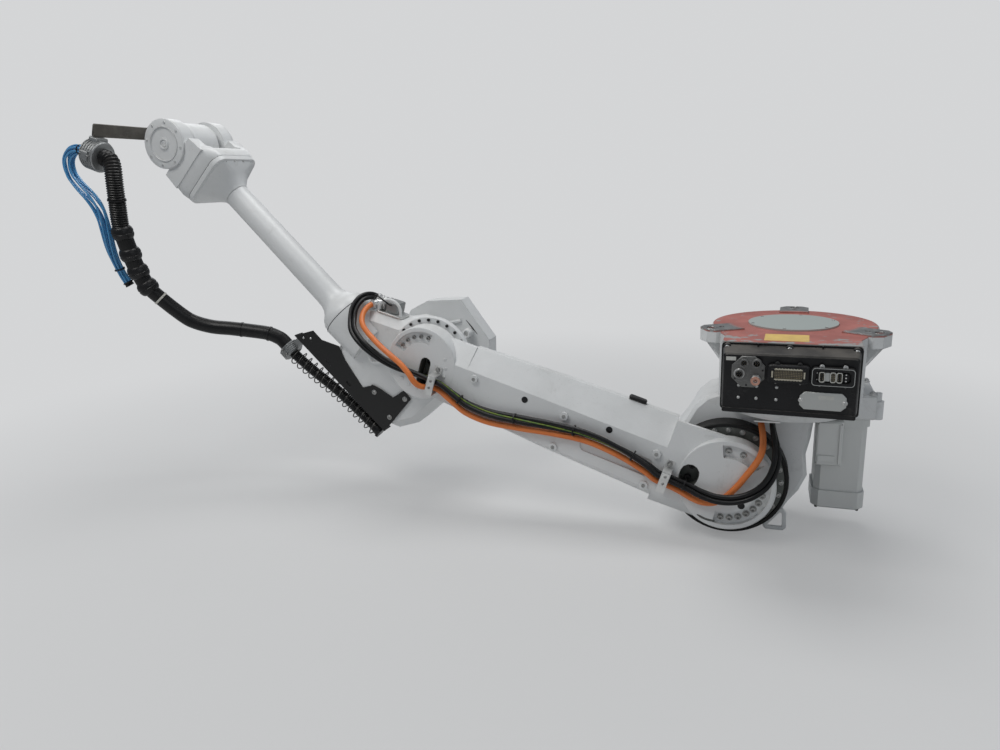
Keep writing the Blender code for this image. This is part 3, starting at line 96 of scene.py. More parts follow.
# The two motors on the turret: where each stands and where it ends.
MOTOR1_AT, MOTOR1_END, MOTOR_HALF = (0.162, 0.047), -0.6013, 0.077
MOTOR2_AT, MOTOR2_END = (-0.175, -0.495), 0.4153
PLUG_BOX_AT = (MOTOR1_AT[0] - MOTOR_HALF + 0.038, MOTOR1_AT[1] - MOTOR_HALF - 0.0298, -0.3725)

# The lower arm's flat faces, the depth of their bolt recesses, and where its pocket and slot are.
HEAD_FACE = 0.175
ELBOW_FACE = 0.160
RECESS = 0.014
POCKET_ALONG, POCKET_DEPTH = 0.105 * LOWER_LENGTH, 0.045
SLOT_ALONG, SLOT_DEPTH = 0.985 * LOWER_LENGTH, 0.050

# The signs of four corners.
CORNERS = [(first, second) for first in (-1, 1) for second in (-1, 1)]


# Frames of the bodies at rest.

def axes(origin, along, side):
    """A frame as a 4 by 4 array: its X runs along, its Y to the side and its Z is their cross product."""
    along, side = np.array(along, float), np.array(side, float)
    made = np.eye(4)
    made[:3, 0] = along / np.linalg.norm(along)
    made[:3, 1] = side / np.linalg.norm(side)
    made[:3, 2] = np.cross(made[:3, 0], made[:3, 1])
    made[:3, 3] = origin
    return made


def joint_place(name):
    """A joint's point at rest, in the row's frame."""
    return np.array(JOINTS[name]["pos_m"], float)


BASE = axes((0, 0, 0), (math.cos(PANEL_TURN), -math.sin(PANEL_TURN), 0),
            (math.sin(PANEL_TURN), math.cos(PANEL_TURN), 0))
TURRET = np.eye(4)
TURRET_SIDE = axes(joint_place("axis2"), (1, 0, 0), TOWARD_VIEWER)
LOWER = axes(joint_place("axis2"), joint_place("axis3") - joint_place("axis2"), TOWARD_VIEWER)
UPPER = axes(joint_place("axis3"), JOINTS["axis4"]["axis"], TOWARD_VIEWER)
WRIST = axes(joint_place("axis4"), JOINTS["axis4"]["axis"], TOWARD_VIEWER)
TOOL = axes(joint_place("axis6"), JOINTS["axis6"]["axis"], TOWARD_VIEWER)


def stand(frame_at, place, axis=(0, 0, 1), spin=0.0):
    """Where a shape goes whose own Z is to point along an axis of a frame, from a place in that frame."""
    up = np.array(axis, float)
    up /= np.linalg.norm(up)
    helper = np.array((1.0, 0, 0)) if abs(up[0]) < 0.9 else np.array((0, 1.0, 0))
    side = np.cross(up, helper)
    side /= np.linalg.norm(side)
    first = np.cross(side, up)
    turned = first * math.cos(spin) + side * math.sin(spin)
    made = np.eye(4)
    made[:3, 0], made[:3, 1], made[:3, 2] = turned, np.cross(up, turned), up
    made[:3, 3] = place
    return frame_at @ made


def ring_of(frame_at, centre, radius, angles, height, plane="XZ"):
    """Stands for shapes on a circle in a frame's X-Z plane facing its Y, or its X-Y or Y-Z plane."""
    stands = []
    for angle in np.radians(angles):
        a, b = centre[0] + radius * math.cos(angle), centre[1] + radius * math.sin(angle)
        place, axis = {"XZ": ((a, height, b), (0, 1, 0)), "XY": ((a, b, height), (0, 0, 1)),
                       "YZ": ((height, a, b), (1, 0, 0))}[plane]
        stands.append(stand(frame_at, place, axis, angle))
    return stands


# Outlines and shells. A shell is an array of points and an array of faces; a triangle's fourth corner is -1.

def circle(radius, steps=18):
    """Points at equal angles at one distance from zero."""
    angle = np.arange(steps) * (2 * math.pi / steps)
    return radius * np.stack([np.cos(angle), np.sin(angle)], 1)


def hexagon(radius, steps=18):
    """Points at equal angles on six flats, each out by the flat's distance over its angle's cosine."""
    angle = np.arange(steps) * (2 * math.pi / steps)
    off = np.mod(angle, math.pi / 3) - math.pi / 6
    reach = radius * math.cos(math.pi / 6) / np.cos(off)
    return np.stack([reach * np.cos(angle), reach * np.sin(angle)], 1)


def slab(width, height, radius, steps=20):
    """A rectangle with round corners: each corner is a quarter circle pushed out to its place."""
    angle = (np.arange(steps) + 0.5) * (2 * math.pi / steps)
    corner = np.stack([np.sign(np.cos(angle)) * (width / 2 - radius),
                       np.sign(np.sin(angle)) * (height / 2 - radius)], 1)
    turn = np.mod(angle, math.pi / 2)
    quarter = np.floor(angle / (math.pi / 2)) * (math.pi / 2)
    low, high = turn.min(), turn.max()
    swept = quarter + (turn - low) / (high - low) * (math.pi / 2)
    return corner + radius * np.stack([np.cos(swept), np.sin(swept)], 1)


def outward(points, faces):
    """The shell with its faces turned so that its signed volume is above zero."""
    third = np.where(faces[:, 3] < 0, faces[:, 2], faces[:, 3])
    a, b, c, d = points[faces[:, 0]], points[faces[:, 1]], points[faces[:, 2]], points[third]
    volume = (a * np.cross(b, c)).sum() + (a * np.cross(c, d)).sum()
    if volume < 0:
        flat = faces[:, 3] < 0
        faces = np.where(flat[:, None], faces[:, [0, 2, 1, 3]], faces[:, [0, 3, 2, 1]])
    return points, faces


def sewn(rows, around=True, joined=False):
    """Faces between neighbouring rows of a grid of points; a row of one repeated point closes to a pole."""
    rows = np.asarray(rows, float)
    count, steps = rows.shape[:2]
    index = np.arange(count * steps).reshape(count, steps)
    pole = np.ptp(rows, axis=1).max(axis=1) < 1e-9
    index[pole] = index[pole][:, :1]
    if joined:
        index = np.vstack([index, index[:1]])
    a, d = index[:-1], index[1:]
    if around:
        b, c = np.roll(a, -1, 1), np.roll(d, -1, 1)
    else:
        a, b, c, d = a[:, :-1], a[:, 1:], d[:, 1:], d[:, :-1]
    quads = np.stack([a, b, c, d], -1).reshape(-1, 4)
    low, high = quads[:, 0] == quads[:, 1], quads[:, 2] == quads[:, 3]
    quads = np.where(low[:, None], np.stack([*quads[:, 1:].T, np.full(len(quads), -1)], 1), quads)
    quads[high, 3] = -1
    quads = quads[~(low & high)]
    used = np.unique(quads[quads >= 0])
    fresh = np.full(count * steps, -1)
    fresh[used] = np.arange(len(used))
    return rows.reshape(-1, 3)[used], np.where(quads < 0, -1, fresh[quads])


def rings_at(levels):
    """Outlines at their heights, as rings of points."""
    return [np.column_stack([outline, np.full(len(outline), height)]) for outline, height in levels]


def stacked(levels):
    """A closed shell through outlines at rising or falling heights, with a pole added at both ends."""
    rings = rings_at(levels)
    first, last = rings[0].mean(0), rings[-1].mean(0)
    return outward(*sewn([np.tile(first, (len(rings[0]), 1)), *rings, np.tile(last, (len(rings[0]), 1))]))


def turned(profile, steps=24):
    """A profile of radius and height carried round Z; it closes on the axis at both ends."""
    return stacked([(circle(max(radius, 1e-5), steps), height) for radius, height in profile])


def framed(levels):
    """A closed frame through outlines at heights, the last of them joined to the first."""
    return outward(*sewn(rings_at(levels), joined=True))


def frame_between(outer, inner, low, high):
    """A flat frame between two outlines."""
    return framed([(outer, low), (outer, high), (inner, high), (inner, low)])


def hoop(profile, steps=32):
    """A closed profile of radius and height carried round Z into a ring."""
    return framed([(circle(radius, steps), height) for radius, height in profile])


def moved(shell, *places):
    """The shell once for each place, its points carried by each place's 4 by 4 array at once."""
    points, faces = shell
    places = np.array(places)
    carried = np.einsum("nij,pj->npi", places[:, :3, :3], points) + places[:, None, :3, 3]
    shifts = (np.arange(len(places)) * len(points))[:, None, None]
    copied = np.where(faces[None] < 0, -1, faces[None] + shifts)
    return carried.reshape(-1, 3), copied.reshape(-1, 4)


def together(shells):
    """Several shells as one."""
    points, faces, start = [], [], 0
    for some, corners in shells:
        points.append(some)
        faces.append(np.where(corners < 0, -1, corners + start))
        start += len(some)
    return np.concatenate(points), np.concatenate(faces)


def smooth_line(points, spacing):
    """Points a given distance apart on a cubic through the route, sloped by each point's neighbours."""
    knots = np.array(points, float)
    knots = np.vstack([2 * knots[0] - knots[1], knots, 2 * knots[-1] - knots[-2]])
    t = (np.arange(12) / 12)[None, :, None]
    a, b, c, d = (knots[i:len(knots) - 3 + i][:, None] for i in range(4))
    fine = 0.5 * (2 * b + (c - a) * t + (2 * a - 5 * b + 4 * c - d) * t ** 2
                  + (3 * b - 3 * c + d - a) * t ** 3)
    fine = np.vstack([fine.reshape(-1, 3), knots[-2]])
    travelled = np.concatenate([[0], np.cumsum(np.linalg.norm(np.diff(fine, axis=0), axis=1))])
    want = np.linspace(0, travelled[-1], max(3, round(travelled[-1] / spacing)) + 1)
    return np.stack([np.interp(want, travelled, fine[:, i]) for i in range(3)], 1)


def line_length(line):
    """The length of a line of points."""
    return float(np.linalg.norm(np.diff(line, axis=0), axis=1).sum())


def line_frames(line):
    """The direction at each point of a line, and two square to it that turn as little as they can."""
    ahead = np.gradient(line, axis=0)
    ahead /= np.linalg.norm(ahead, axis=1)[:, None]
    helper = np.eye(3)[np.argmin(np.abs(ahead[0]))]
    side = np.cross(ahead[0], helper)
    sides = []
    for direction in ahead:
        side = side - direction * (side @ direction)
        side = side / np.linalg.norm(side)
        sides.append(side)
    sides = np.array(sides)
    return ahead, sides, np.cross(ahead, sides)


def tube(line, radii, steps=14):
    """A circle of changing radius carried along a line and closed at both ends."""
    _, first, second = line_frames(line)
    angle = np.arange(steps) * (2 * math.pi / steps)
    radii = np.broadcast_to(np.asarray(radii, float), (len(line),))
    across = first[:, None] * np.cos(angle)[None, :, None] + second[:, None] * np.sin(angle)[None, :, None]
    rings = line[:, None] + across * radii[:, None, None]
    ends = [np.tile(line[0], (1, steps, 1)), rings, np.tile(line[-1], (1, steps, 1))]
    return outward(*sewn(np.concatenate(ends)))


def place_on(line, at):
    """Where a shape goes that stands round a line at one of its points, its own Z along the line."""
    ahead, first, second = line_frames(line)
    made = np.eye(4)
    made[:3, 0], made[:3, 1], made[:3, 2], made[:3, 3] = first[at], second[at], ahead[at], line[at]
    return made


def beside(line, spread, angle, turns=0.0):
    """A line at a distance from another, at an angle round it that may turn along its length."""
    _, first, second = line_frames(line)
    share = np.linspace(0, 1, len(line))
    around = angle + 2 * math.pi * turns * share
    spread = np.broadcast_to(np.asarray(spread, float), share.shape)
    return line + (first * np.cos(around)[:, None] + second * np.sin(around)[:, None]) * spread[:, None]


def within(frame_at, points):
    """Points of a frame in the row's coordinates."""
    points = np.atleast_2d(np.array(points, float))
    return points @ frame_at[:3, :3].T + frame_at[:3, 3]


def piece(name, shells, look, body, replaced=(), sharp=35.0, bend=None):
    """One object from several shells, smooth up to an angle, that rides on a body; given a bend, it rides on
    none and stays where it lies.
    """
    points, faces = together(shells)
    sizes = np.where(faces[:, 3] < 0, 3, 4)
    data = bpy.data.meshes.new(name)
    data.vertices.add(len(points))
    data.vertices.foreach_set("co", points.astype(np.float32).ravel())
    data.loops.add(int(sizes.sum()))
    data.loops.foreach_set("vertex_index", faces[faces >= 0].astype(np.int32))
    data.polygons.add(len(faces))
    data.polygons.foreach_set("loop_start", (np.cumsum(sizes) - sizes).astype(np.int32))
    data.update(calc_edges=True)
    data.validate()
    data.shade_smooth()
    data.set_sharp_from_angle(angle=math.radians(sharp))
    data.materials.append(finish(look))
    made = bpy.data.objects.new(name, data)
    bpy.context.scene.collection.objects.link(made)
    if bend is None:
        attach(made, body)
    else:
        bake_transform(made)
    if replaced:
        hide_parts(*replaced)
    return made


def fasten(name, shapes, stands, look, body):
    """One object from the same small shapes at every stand."""
    return piece(name, [moved(shape, *stands) for shape in shapes], look, body)


# Small hardware, each standing on its own Z = 0.

def socket_screw(radius, height, steps=18):
    """A drum with a chamfered rim and a six-sided pocket in its top."""
    rim, key = circle(radius, steps), hexagon(radius * 0.60, steps)
    return stacked([(rim, 0.0), (rim, height * 0.86), (rim * 0.90, height), (rim * 0.78, height),
                    (key, height), (key * 0.97, height * 0.42)])


def button_screw(radius, height, steps=18):
    """A low dome, its radius falling with the cosine of its height's angle, with a six-sided pocket."""
    rim = circle(radius, steps)
    key = hexagon(radius * 0.42, steps)
    dome = [(rim * math.cos(a), height * math.sin(a)) for a in np.radians([0, 25, 50, 64])]
    return stacked([(rim, -0.0002), *dome, (key, height * 0.91), (key * 0.95, height * 0.35)])


def hex_nut(radius, height, steps=18):
    """A six-sided drum with its corners cut to a circle at the top and a stub of thread standing out."""
    flat, cut, stub = hexagon(radius, steps), circle(radius * 0.88, steps), circle(radius * 0.48, steps)
    return stacked([(flat, 0.0), (flat, height * 0.88), (cut, height), (stub, height), (stub, height * 1.35),
                    (stub * 0.8, height * 1.45)])


def washer(radius, height, steps=24):
    """A flat ring, closed under the screw."""
    return turned([(radius, 0.0), (radius, height * 0.8), (radius * 0.96, height)], steps)


def stud(foot, shoulder, top, steps=24):
    """A round stud from its foot's height to a shoulder and a top, each a radius and a height."""
    return turned([(shoulder[0], foot), shoulder, top], steps)


def plate(width, height, thickness, radius, edge=0.0006):
    """A flat plate with round corners and its upper rim broken."""
    full, small = slab(width, height, radius), slab(width - 2 * edge, height - 2 * edge, radius)
    return stacked([(full, 0.0), (full, thickness - edge), (small, thickness)])


def gland(radius, length, steps=24):
    """A cable gland: a six-sided foot, a round body and a domed cap that narrows to the cable."""
    foot = hexagon(radius * 1.28, steps)
    body = circle(radius, steps)
    return stacked([(foot, 0.0), (foot, length * 0.28), (body * 1.05, length * 0.30), (body, length * 0.34),
                    (body, length * 0.72), (body * 0.93, length * 0.86), (body * 0.72, length)])


# Shader groups and finishes.

def put(tree, socket, value):
    """Link a socket or set its value."""
    if isinstance(value, bpy.types.NodeSocket):
        tree.links.new(value, socket)
    elif hasattr(value, "__len__") and len(value) == 3 and len(socket.default_value) == 4:
        socket.default_value = (*value, 1.0)
    else:
        socket.default_value = value


def node(tree, kind, sockets=None, **settings):
    """A shader node with its settings and its inputs, by name or number."""
    made = tree.nodes.new("ShaderNode" + kind)
    for name, value in settings.items():
        setattr(made, name, value)
    for name, value in (sockets or {}).items():
        put(tree, made.inputs[name], value)
    return made


def mixed(tree, factor, first, second):
    """Two colours mixed by a factor."""
    return node(tree, "Mix", {0: factor, 6: first, 7: second}, data_type="RGBA").outputs[2]


def sums(tree, operation, *values):
    """One arithmetic step on numbers."""
    return node(tree, "Math", dict(enumerate(values)), operation=operation).outputs[0]


def band(tree, value, low, high, start=0.0, stop=1.0):
    """A value's place between two limits, eased and clamped."""
    return node(tree, "MapRange", {"Value": value, "From Min": low, "From Max": high, "To Min": start,
                                   "To Max": stop}, interpolation_type="SMOOTHSTEP").outputs[0]


def cloud(tree, vector, scale, detail=3.0, rough=0.55, out="Fac", warp=0.0):
    """A noise texture's value."""
    return node(tree, "TexNoise", {"Vector": vector, "Scale": scale, "Detail": detail, "Roughness": rough,
                                   "Distortion": warp}).outputs[out]


def group(name, inputs, outputs):
    """An empty node group with its sockets, and its input and output nodes."""
    tree = bpy.data.node_groups.new(name, "ShaderNodeTree")
    kinds = {"colour": "NodeSocketColor", "value": "NodeSocketFloat", "vector": "NodeSocketVector"}
    for label, kind in inputs:
        tree.interface.new_socket(label, in_out="INPUT", socket_type=kinds[kind])
    for label, kind in outputs:
        tree.interface.new_socket(label, in_out="OUTPUT", socket_type=kinds[kind])
    return tree, tree.nodes.new("NodeGroupInput").outputs, tree.nodes.new("NodeGroupOutput").inputs


def worn_surface():
    """The group for every surface: patches, dirt in spots, dust on what faces up, grain and worn edges."""
    known = bpy.data.node_groups.get("worn_surface")
    if known:
        return known
    tree, given, made = group(
        "worn_surface",
        [("Place", "vector"), ("Colour", "colour"), ("Patch Colour", "colour"), ("Dirt Colour", "colour"),
         ("Bare Colour", "colour"), ("Patch Scale", "value"), ("Patches", "value"), ("Dirt", "value"),
         ("Dust", "value"), ("Wear", "value"), ("Grain Scale", "value"), ("Grain Depth", "value"),
         ("Roughness", "value"), ("Edge Round", "value")],
        [("Colour", "colour"), ("Roughness", "value"), ("Normal", "vector"), ("Bare", "value")])
    place = given["Place"]
    facing = node(tree, "NewGeometry").outputs["Normal"]
    up = node(tree, "SeparateXYZ", {0: facing}).outputs[2]
    patches = band(tree, cloud(tree, place, given["Patch Scale"], 4.0, 0.6), 0.42, 0.66)
    patches = sums(tree, "MULTIPLY", patches, given["Patches"])
    smudge = cloud(tree, place, sums(tree, "MULTIPLY", given["Patch Scale"], 2.7), 6.0, 0.68, warp=0.6)
    smudge = sums(tree, "MULTIPLY", band(tree, smudge, 0.56, 0.78), given["Dirt"])
    specks = node(tree, "TexVoronoi", {"Vector": place, "Scale": 95.0, "Randomness": 1.0}).outputs["Distance"]
    spread = band(tree, cloud(tree, place, 14.0, 2.0), 0.50, 0.72)
    specks = sums(tree, "MULTIPLY", band(tree, specks, 0.10, 0.22, 1.0, 0.0), spread)
    specks = sums(tree, "MULTIPLY", specks, given["Dirt"])
    dust = sums(tree, "MULTIPLY", band(tree, up, 0.35, 0.95),
                band(tree, cloud(tree, place, 7.0, 5.0, 0.65), 0.30, 0.68, 0.25, 1.0))
    dust = sums(tree, "MULTIPLY", dust, given["Dust"])
    soft = node(tree, "Bevel", {"Radius": given["Edge Round"]}, samples=4).outputs[0]
    level = node(tree, "VectorMath", {0: soft, 1: facing}, operation="DOT_PRODUCT").outputs["Value"]
    chips = band(tree, cloud(tree, place, 60.0, 4.0, 0.7), 0.46, 0.60)
    bare = sums(tree, "MULTIPLY", sums(tree, "MULTIPLY", band(tree, level, 0.86, 0.985, 1.0, 0.0), chips),
                given["Wear"])
    colour = mixed(tree, patches, given["Colour"], given["Patch Colour"])
    colour = mixed(tree, sums(tree, "MAXIMUM", smudge, specks), colour, given["Dirt Colour"])
    colour = mixed(tree, dust, colour, given["Dirt Colour"])
    colour = mixed(tree, bare, colour, given["Bare Colour"])
    grain = cloud(tree, place, given["Grain Scale"], 3.0, 0.6)
    fine = cloud(tree, place, sums(tree, "MULTIPLY", given["Grain Scale"], 4.5), 2.0, 0.5)
    height = sums(tree, "ADD", grain, sums(tree, "MULTIPLY", fine, 0.35))
    normal = node(tree, "Bump", {"Strength": 0.6, "Distance": given["Grain Depth"], "Height": height,
                                 "Normal": soft}).outputs[0]
    rough = sums(tree, "ADD", given["Roughness"], sums(tree, "MULTIPLY", grain, 0.10))
    rough = sums(tree, "ADD", rough, sums(tree, "MULTIPLY", sums(tree, "MAXIMUM", dust, smudge), 0.25))
    put(tree, made["Colour"], colour)
    put(tree, made["Roughness"], node(tree, "Clamp", {0: rough, 1: 0.05, 2: 0.95}).outputs[0])
    put(tree, made["Normal"], normal)
    put(tree, made["Bare"], bare)
    return tree


def scratched():
    """The group for fine scratches: thin light lines where stretched noise crosses one half."""
    known = bpy.data.node_groups.get("scratched")
    if known:
        return known
    tree, given, made = group("scratched", [("Place", "vector"), ("Scale", "value"), ("Amount", "value")],
                              [("Lines", "value")])
    lines = []
    for turn, stretch in ((0.4, (1.0, 9.0, 1.0)), (1.3, (7.0, 1.0, 1.4)), (2.3, (1.0, 1.2, 8.0))):
        place = node(tree, "Mapping", {"Vector": given["Place"], "Scale": stretch,
                                       "Rotation": (turn, turn * 0.7, turn * 1.3)}).outputs[0]
        value = cloud(tree, place, given["Scale"], 2.0, 0.5)
        off = sums(tree, "ABSOLUTE", sums(tree, "SUBTRACT", value, 0.5))
        lines.append(band(tree, off, 0.002, 0.010, 1.0, 0.0))
    patch = band(tree, cloud(tree, given["Place"], 9.0, 3.0), 0.50, 0.66)
    both = sums(tree, "MAXIMUM", sums(tree, "MAXIMUM", *lines[:2]), lines[2])
    put(tree, made["Lines"], sums(tree, "MULTIPLY", sums(tree, "MULTIPLY", both, patch), given["Amount"]))
    return tree


# Each finish: colour, patch colour, dirt colour, bare colour, patch scale, patches, dirt, dust, wear,
# grain scale, grain depth, roughness, edge round, metallic, scratches.
FINISHES = {
    "body_paint": ("paint", (0.640, 0.652, 0.650), (0.26, 0.24, 0.21), (0.40, 0.40, 0.39),
                   5.0, 0.35, 0.22, 0.26, 0.35, 160.0, 0.0006, 0.30, 0.0035, 0.0, 0.10),
    "motor_paint": ("motor", (0.50, 0.51, 0.50), (0.22, 0.20, 0.17), (0.36, 0.36, 0.35),
                    6.0, 0.4, 0.35, 0.35, 0.45, 150.0, 0.0006, 0.38, 0.0025, 0.0, 0.12),
    "base_paint": ("paint", (0.60, 0.61, 0.60), (0.24, 0.22, 0.19), (0.36, 0.35, 0.34),
                   5.0, 0.4, 0.40, 0.30, 0.55, 140.0, 0.0008, 0.34, 0.0035, 0.0, 0.15),
    "disc_paint": ("disc", (0.205, 0.240, 0.225), (0.285, 0.30, 0.285), (0.40, 0.42, 0.40),
                   9.0, 0.65, 0.55, 0.35, 0.5, 220.0, 0.0005, 0.36, 0.0015, 0.0, 0.5),
    "cover_moulding": ((0.0075, 0.0075, 0.0085), (0.012, 0.012, 0.013), (0.115, 0.105, 0.092),
                       (0.10, 0.10, 0.10), 8.0, 0.5, 0.16, 0.95, 0.8, 320.0, 0.0004, 0.24, 0.0020, 0.0, 0.35),
    "black_sheet": ((0.0070, 0.0070, 0.0080), (0.014, 0.014, 0.015), (0.10, 0.095, 0.088), (0.16, 0.16, 0.16),
                    7.0, 0.5, 0.22, 0.30, 0.7, 300.0, 0.0004, 0.30, 0.0010, 0.0, 0.35),
    "black_plastic": ((0.0080, 0.0080, 0.0090), (0.015, 0.015, 0.016), (0.10, 0.092, 0.085),
                      (0.09, 0.09, 0.09), 14.0, 0.5, 0.16, 0.22, 0.6, 420.0, 0.0003, 0.28, 0.0010, 0.0, 0.2),
    "seal_rubber": ((0.0060, 0.0060, 0.0060), (0.012, 0.012, 0.011), (0.075, 0.068, 0.060),
                    (0.03, 0.03, 0.03), 16.0, 0.6, 0.25, 0.25, 0.3, 260.0, 0.0005, 0.50, 0.0015, 0.0, 0.0),
    "hose_rubber": ((0.0065, 0.0065, 0.0070), (0.012, 0.012, 0.0125), (0.095, 0.088, 0.080),
                    (0.04, 0.04, 0.04), 12.0, 0.5, 0.18, 0.26, 0.3, 380.0, 0.0003, 0.30, 0.0010, 0.0, 0.1),
    "cable_black": ((0.0055, 0.0055, 0.0062), (0.011, 0.011, 0.0115), (0.090, 0.084, 0.078),
                    (0.03, 0.03, 0.03), 20.0, 0.5, 0.14, 0.18, 0.2, 300.0, 0.0002, 0.28, 0.0008, 0.0, 0.1),
    "cable_orange": ("orange", (0.66, 0.155, 0.030), (0.22, 0.10, 0.06), (0.70, 0.26, 0.10),
                     18.0, 0.5, 0.30, 0.25, 0.2, 300.0, 0.0002, 0.38, 0.0008, 0.0, 0.1),
    "cable_green": ((0.20, 0.27, 0.035), (0.05, 0.16, 0.03), (0.10, 0.11, 0.05), (0.3, 0.36, 0.12),
                    60.0, 0.9, 0.2, 0.2, 0.1, 300.0, 0.0002, 0.38, 0.0006, 0.0, 0.0),
    "tube_blue": ("tube", (0.040, 0.190, 0.430), (0.16, 0.26, 0.36), (0.20, 0.40, 0.62),
                  5.0, 0.6, 0.10, 0.10, 0.0, 90.0, 0.00002, 0.24, 0.0, 0.0, 0.0),
    "tie_white": ((0.62, 0.61, 0.56), (0.52, 0.50, 0.45), (0.30, 0.28, 0.24), (0.7, 0.7, 0.65),
                  40.0, 0.4, 0.3, 0.2, 0.1, 300.0, 0.0002, 0.35, 0.0005, 0.0, 0.0),
    "zinc_metal": ((0.74, 0.74, 0.73), (0.60, 0.60, 0.59), (0.20, 0.19, 0.17), (0.75, 0.75, 0.74),
                   26.0, 0.8, 0.22, 0.20, 0.5, 500.0, 0.0002, 0.30, 0.0010, 0.7, 0.4),
    "screw_steel": ((0.42, 0.42, 0.41), (0.28, 0.28, 0.27), (0.12, 0.11, 0.10), (0.65, 0.65, 0.64),
                    40.0, 0.8, 0.35, 0.20, 0.6, 600.0, 0.0001, 0.30, 0.0005, 1.0, 0.3),
    "screw_bright": ((0.66, 0.66, 0.65), (0.52, 0.52, 0.51), (0.22, 0.21, 0.20), (0.80, 0.80, 0.80),
                     40.0, 0.6, 0.20, 0.10, 0.5, 600.0, 0.0001, 0.26, 0.0005, 0.85, 0.2),
    "screw_black": ((0.030, 0.030, 0.031), (0.060, 0.058, 0.055), (0.14, 0.13, 0.12), (0.30, 0.30, 0.30),
                    40.0, 0.6, 0.25, 0.25, 0.7, 600.0, 0.0001, 0.38, 0.0005, 0.6, 0.2),
    "clamp_metal": ((0.37, 0.38, 0.38), (0.27, 0.28, 0.28), (0.14, 0.13, 0.12), (0.60, 0.60, 0.60),
                    20.0, 0.6, 0.35, 0.25, 0.7, 260.0, 0.0005, 0.42, 0.0015, 0.85, 0.3),
    "bar_steel": ((0.150, 0.140, 0.125), (0.235, 0.220, 0.200), (0.09, 0.075, 0.06), (0.42, 0.41, 0.40),
                  14.0, 0.7, 0.35, 0.15, 0.9, 180.0, 0.0006, 0.40, 0.0012, 0.9, 0.7),
    "flange_steel": ((0.46, 0.46, 0.45), (0.34, 0.34, 0.33), (0.14, 0.13, 0.12), (0.70, 0.70, 0.70),
                     22.0, 0.6, 0.25, 0.15, 0.7, 420.0, 0.0002, 0.28, 0.0010, 1.0, 0.4),
    "grey_plate": ((0.235, 0.240, 0.225), (0.185, 0.19, 0.178), (0.12, 0.11, 0.10), (0.40, 0.40, 0.40),
                   24.0, 0.6, 0.30, 0.20, 0.7, 320.0, 0.0003, 0.40, 0.0010, 0.25, 0.4),
    "socket_plate": ((0.165, 0.165, 0.160), (0.110, 0.110, 0.106), (0.09, 0.08, 0.07), (0.42, 0.42, 0.42),
                     24.0, 0.7, 0.35, 0.25, 0.9, 320.0, 0.0003, 0.34, 0.0012, 0.55, 0.5),
    # The gearbox ring's greasy dark paint; the same finish paints the shade in the lower arm's pocket and
    # slot, and colours the head's groove.
    "ring_grease": ((0.105, 0.112, 0.102), (0.060, 0.064, 0.058), (0.040, 0.036, 0.028), (0.32, 0.32, 0.31),
                    14.0, 0.8, 0.55, 0.20, 0.6, 200.0, 0.0005, 0.34, 0.0025, 0.0, 0.3),
    "pin_block": ((0.110, 0.098, 0.074), (0.070, 0.062, 0.048), (0.05, 0.045, 0.035), (0.2, 0.19, 0.16),
                  60.0, 0.6, 0.3, 0.2, 0.2, 300.0, 0.0002, 0.45, 0.0005, 0.0, 0.0),
    "spring_wire": ((0.120, 0.117, 0.112), (0.040, 0.039, 0.037), (0.10, 0.09, 0.08), (0.40, 0.40, 0.40),
                    20.0, 0.6, 0.3, 0.2, 0.5, 400.0, 0.0002, 0.28, 0.0006, 0.8, 0.0),
    "copper_rim": ((0.62, 0.34, 0.26), (0.50, 0.25, 0.18), (0.16, 0.10, 0.06), (0.80, 0.55, 0.42),
                   36.0, 0.7, 0.3, 0.15, 0.6, 420.0, 0.0002, 0.30, 0.0008, 0.7, 0.2),
    "pin_metal": ((0.58, 0.50, 0.34), (0.48, 0.42, 0.30), (0.2, 0.18, 0.14), (0.75, 0.68, 0.5),
                  60.0, 0.5, 0.2, 0.1, 0.3, 500.0, 0.0001, 0.28, 0.0003, 1.0, 0.0),
    "gasket_beige": ((0.50, 0.47, 0.38), (0.40, 0.37, 0.29), (0.18, 0.15, 0.11), (0.55, 0.5, 0.4),
                     40.0, 0.6, 0.3, 0.2, 0.2, 300.0, 0.0002, 0.50, 0.0005, 0.0, 0.0),
    "label_white": ((0.60, 0.60, 0.57), (0.48, 0.47, 0.43), (0.28, 0.26, 0.22), (0.7, 0.7, 0.68),
                    30.0, 0.7, 0.5, 0.3, 0.1, 300.0, 0.0001, 0.42, 0.0003, 0.0, 0.3),
    "label_grey": ((0.56, 0.56, 0.53), (0.48, 0.48, 0.45), (0.18, 0.17, 0.15), (0.5, 0.5, 0.48),
                   30.0, 0.7, 0.4, 0.2, 0.1, 300.0, 0.0001, 0.40, 0.0003, 0.0, 0.2),
    "label_yellow": ((0.80, 0.56, 0.16), (0.70, 0.47, 0.14), (0.28, 0.20, 0.10), (0.7, 0.6, 0.4),
                     26.0, 0.6, 0.5, 0.3, 0.1, 300.0, 0.0001, 0.40, 0.0003, 0.0, 0.3),
}
COLOUR_NAMES = {"paint": "body_paint", "motor": "motor_paint", "disc": "disc_paint", "orange": "cable_orange",
                "tube": "tube_blue"}


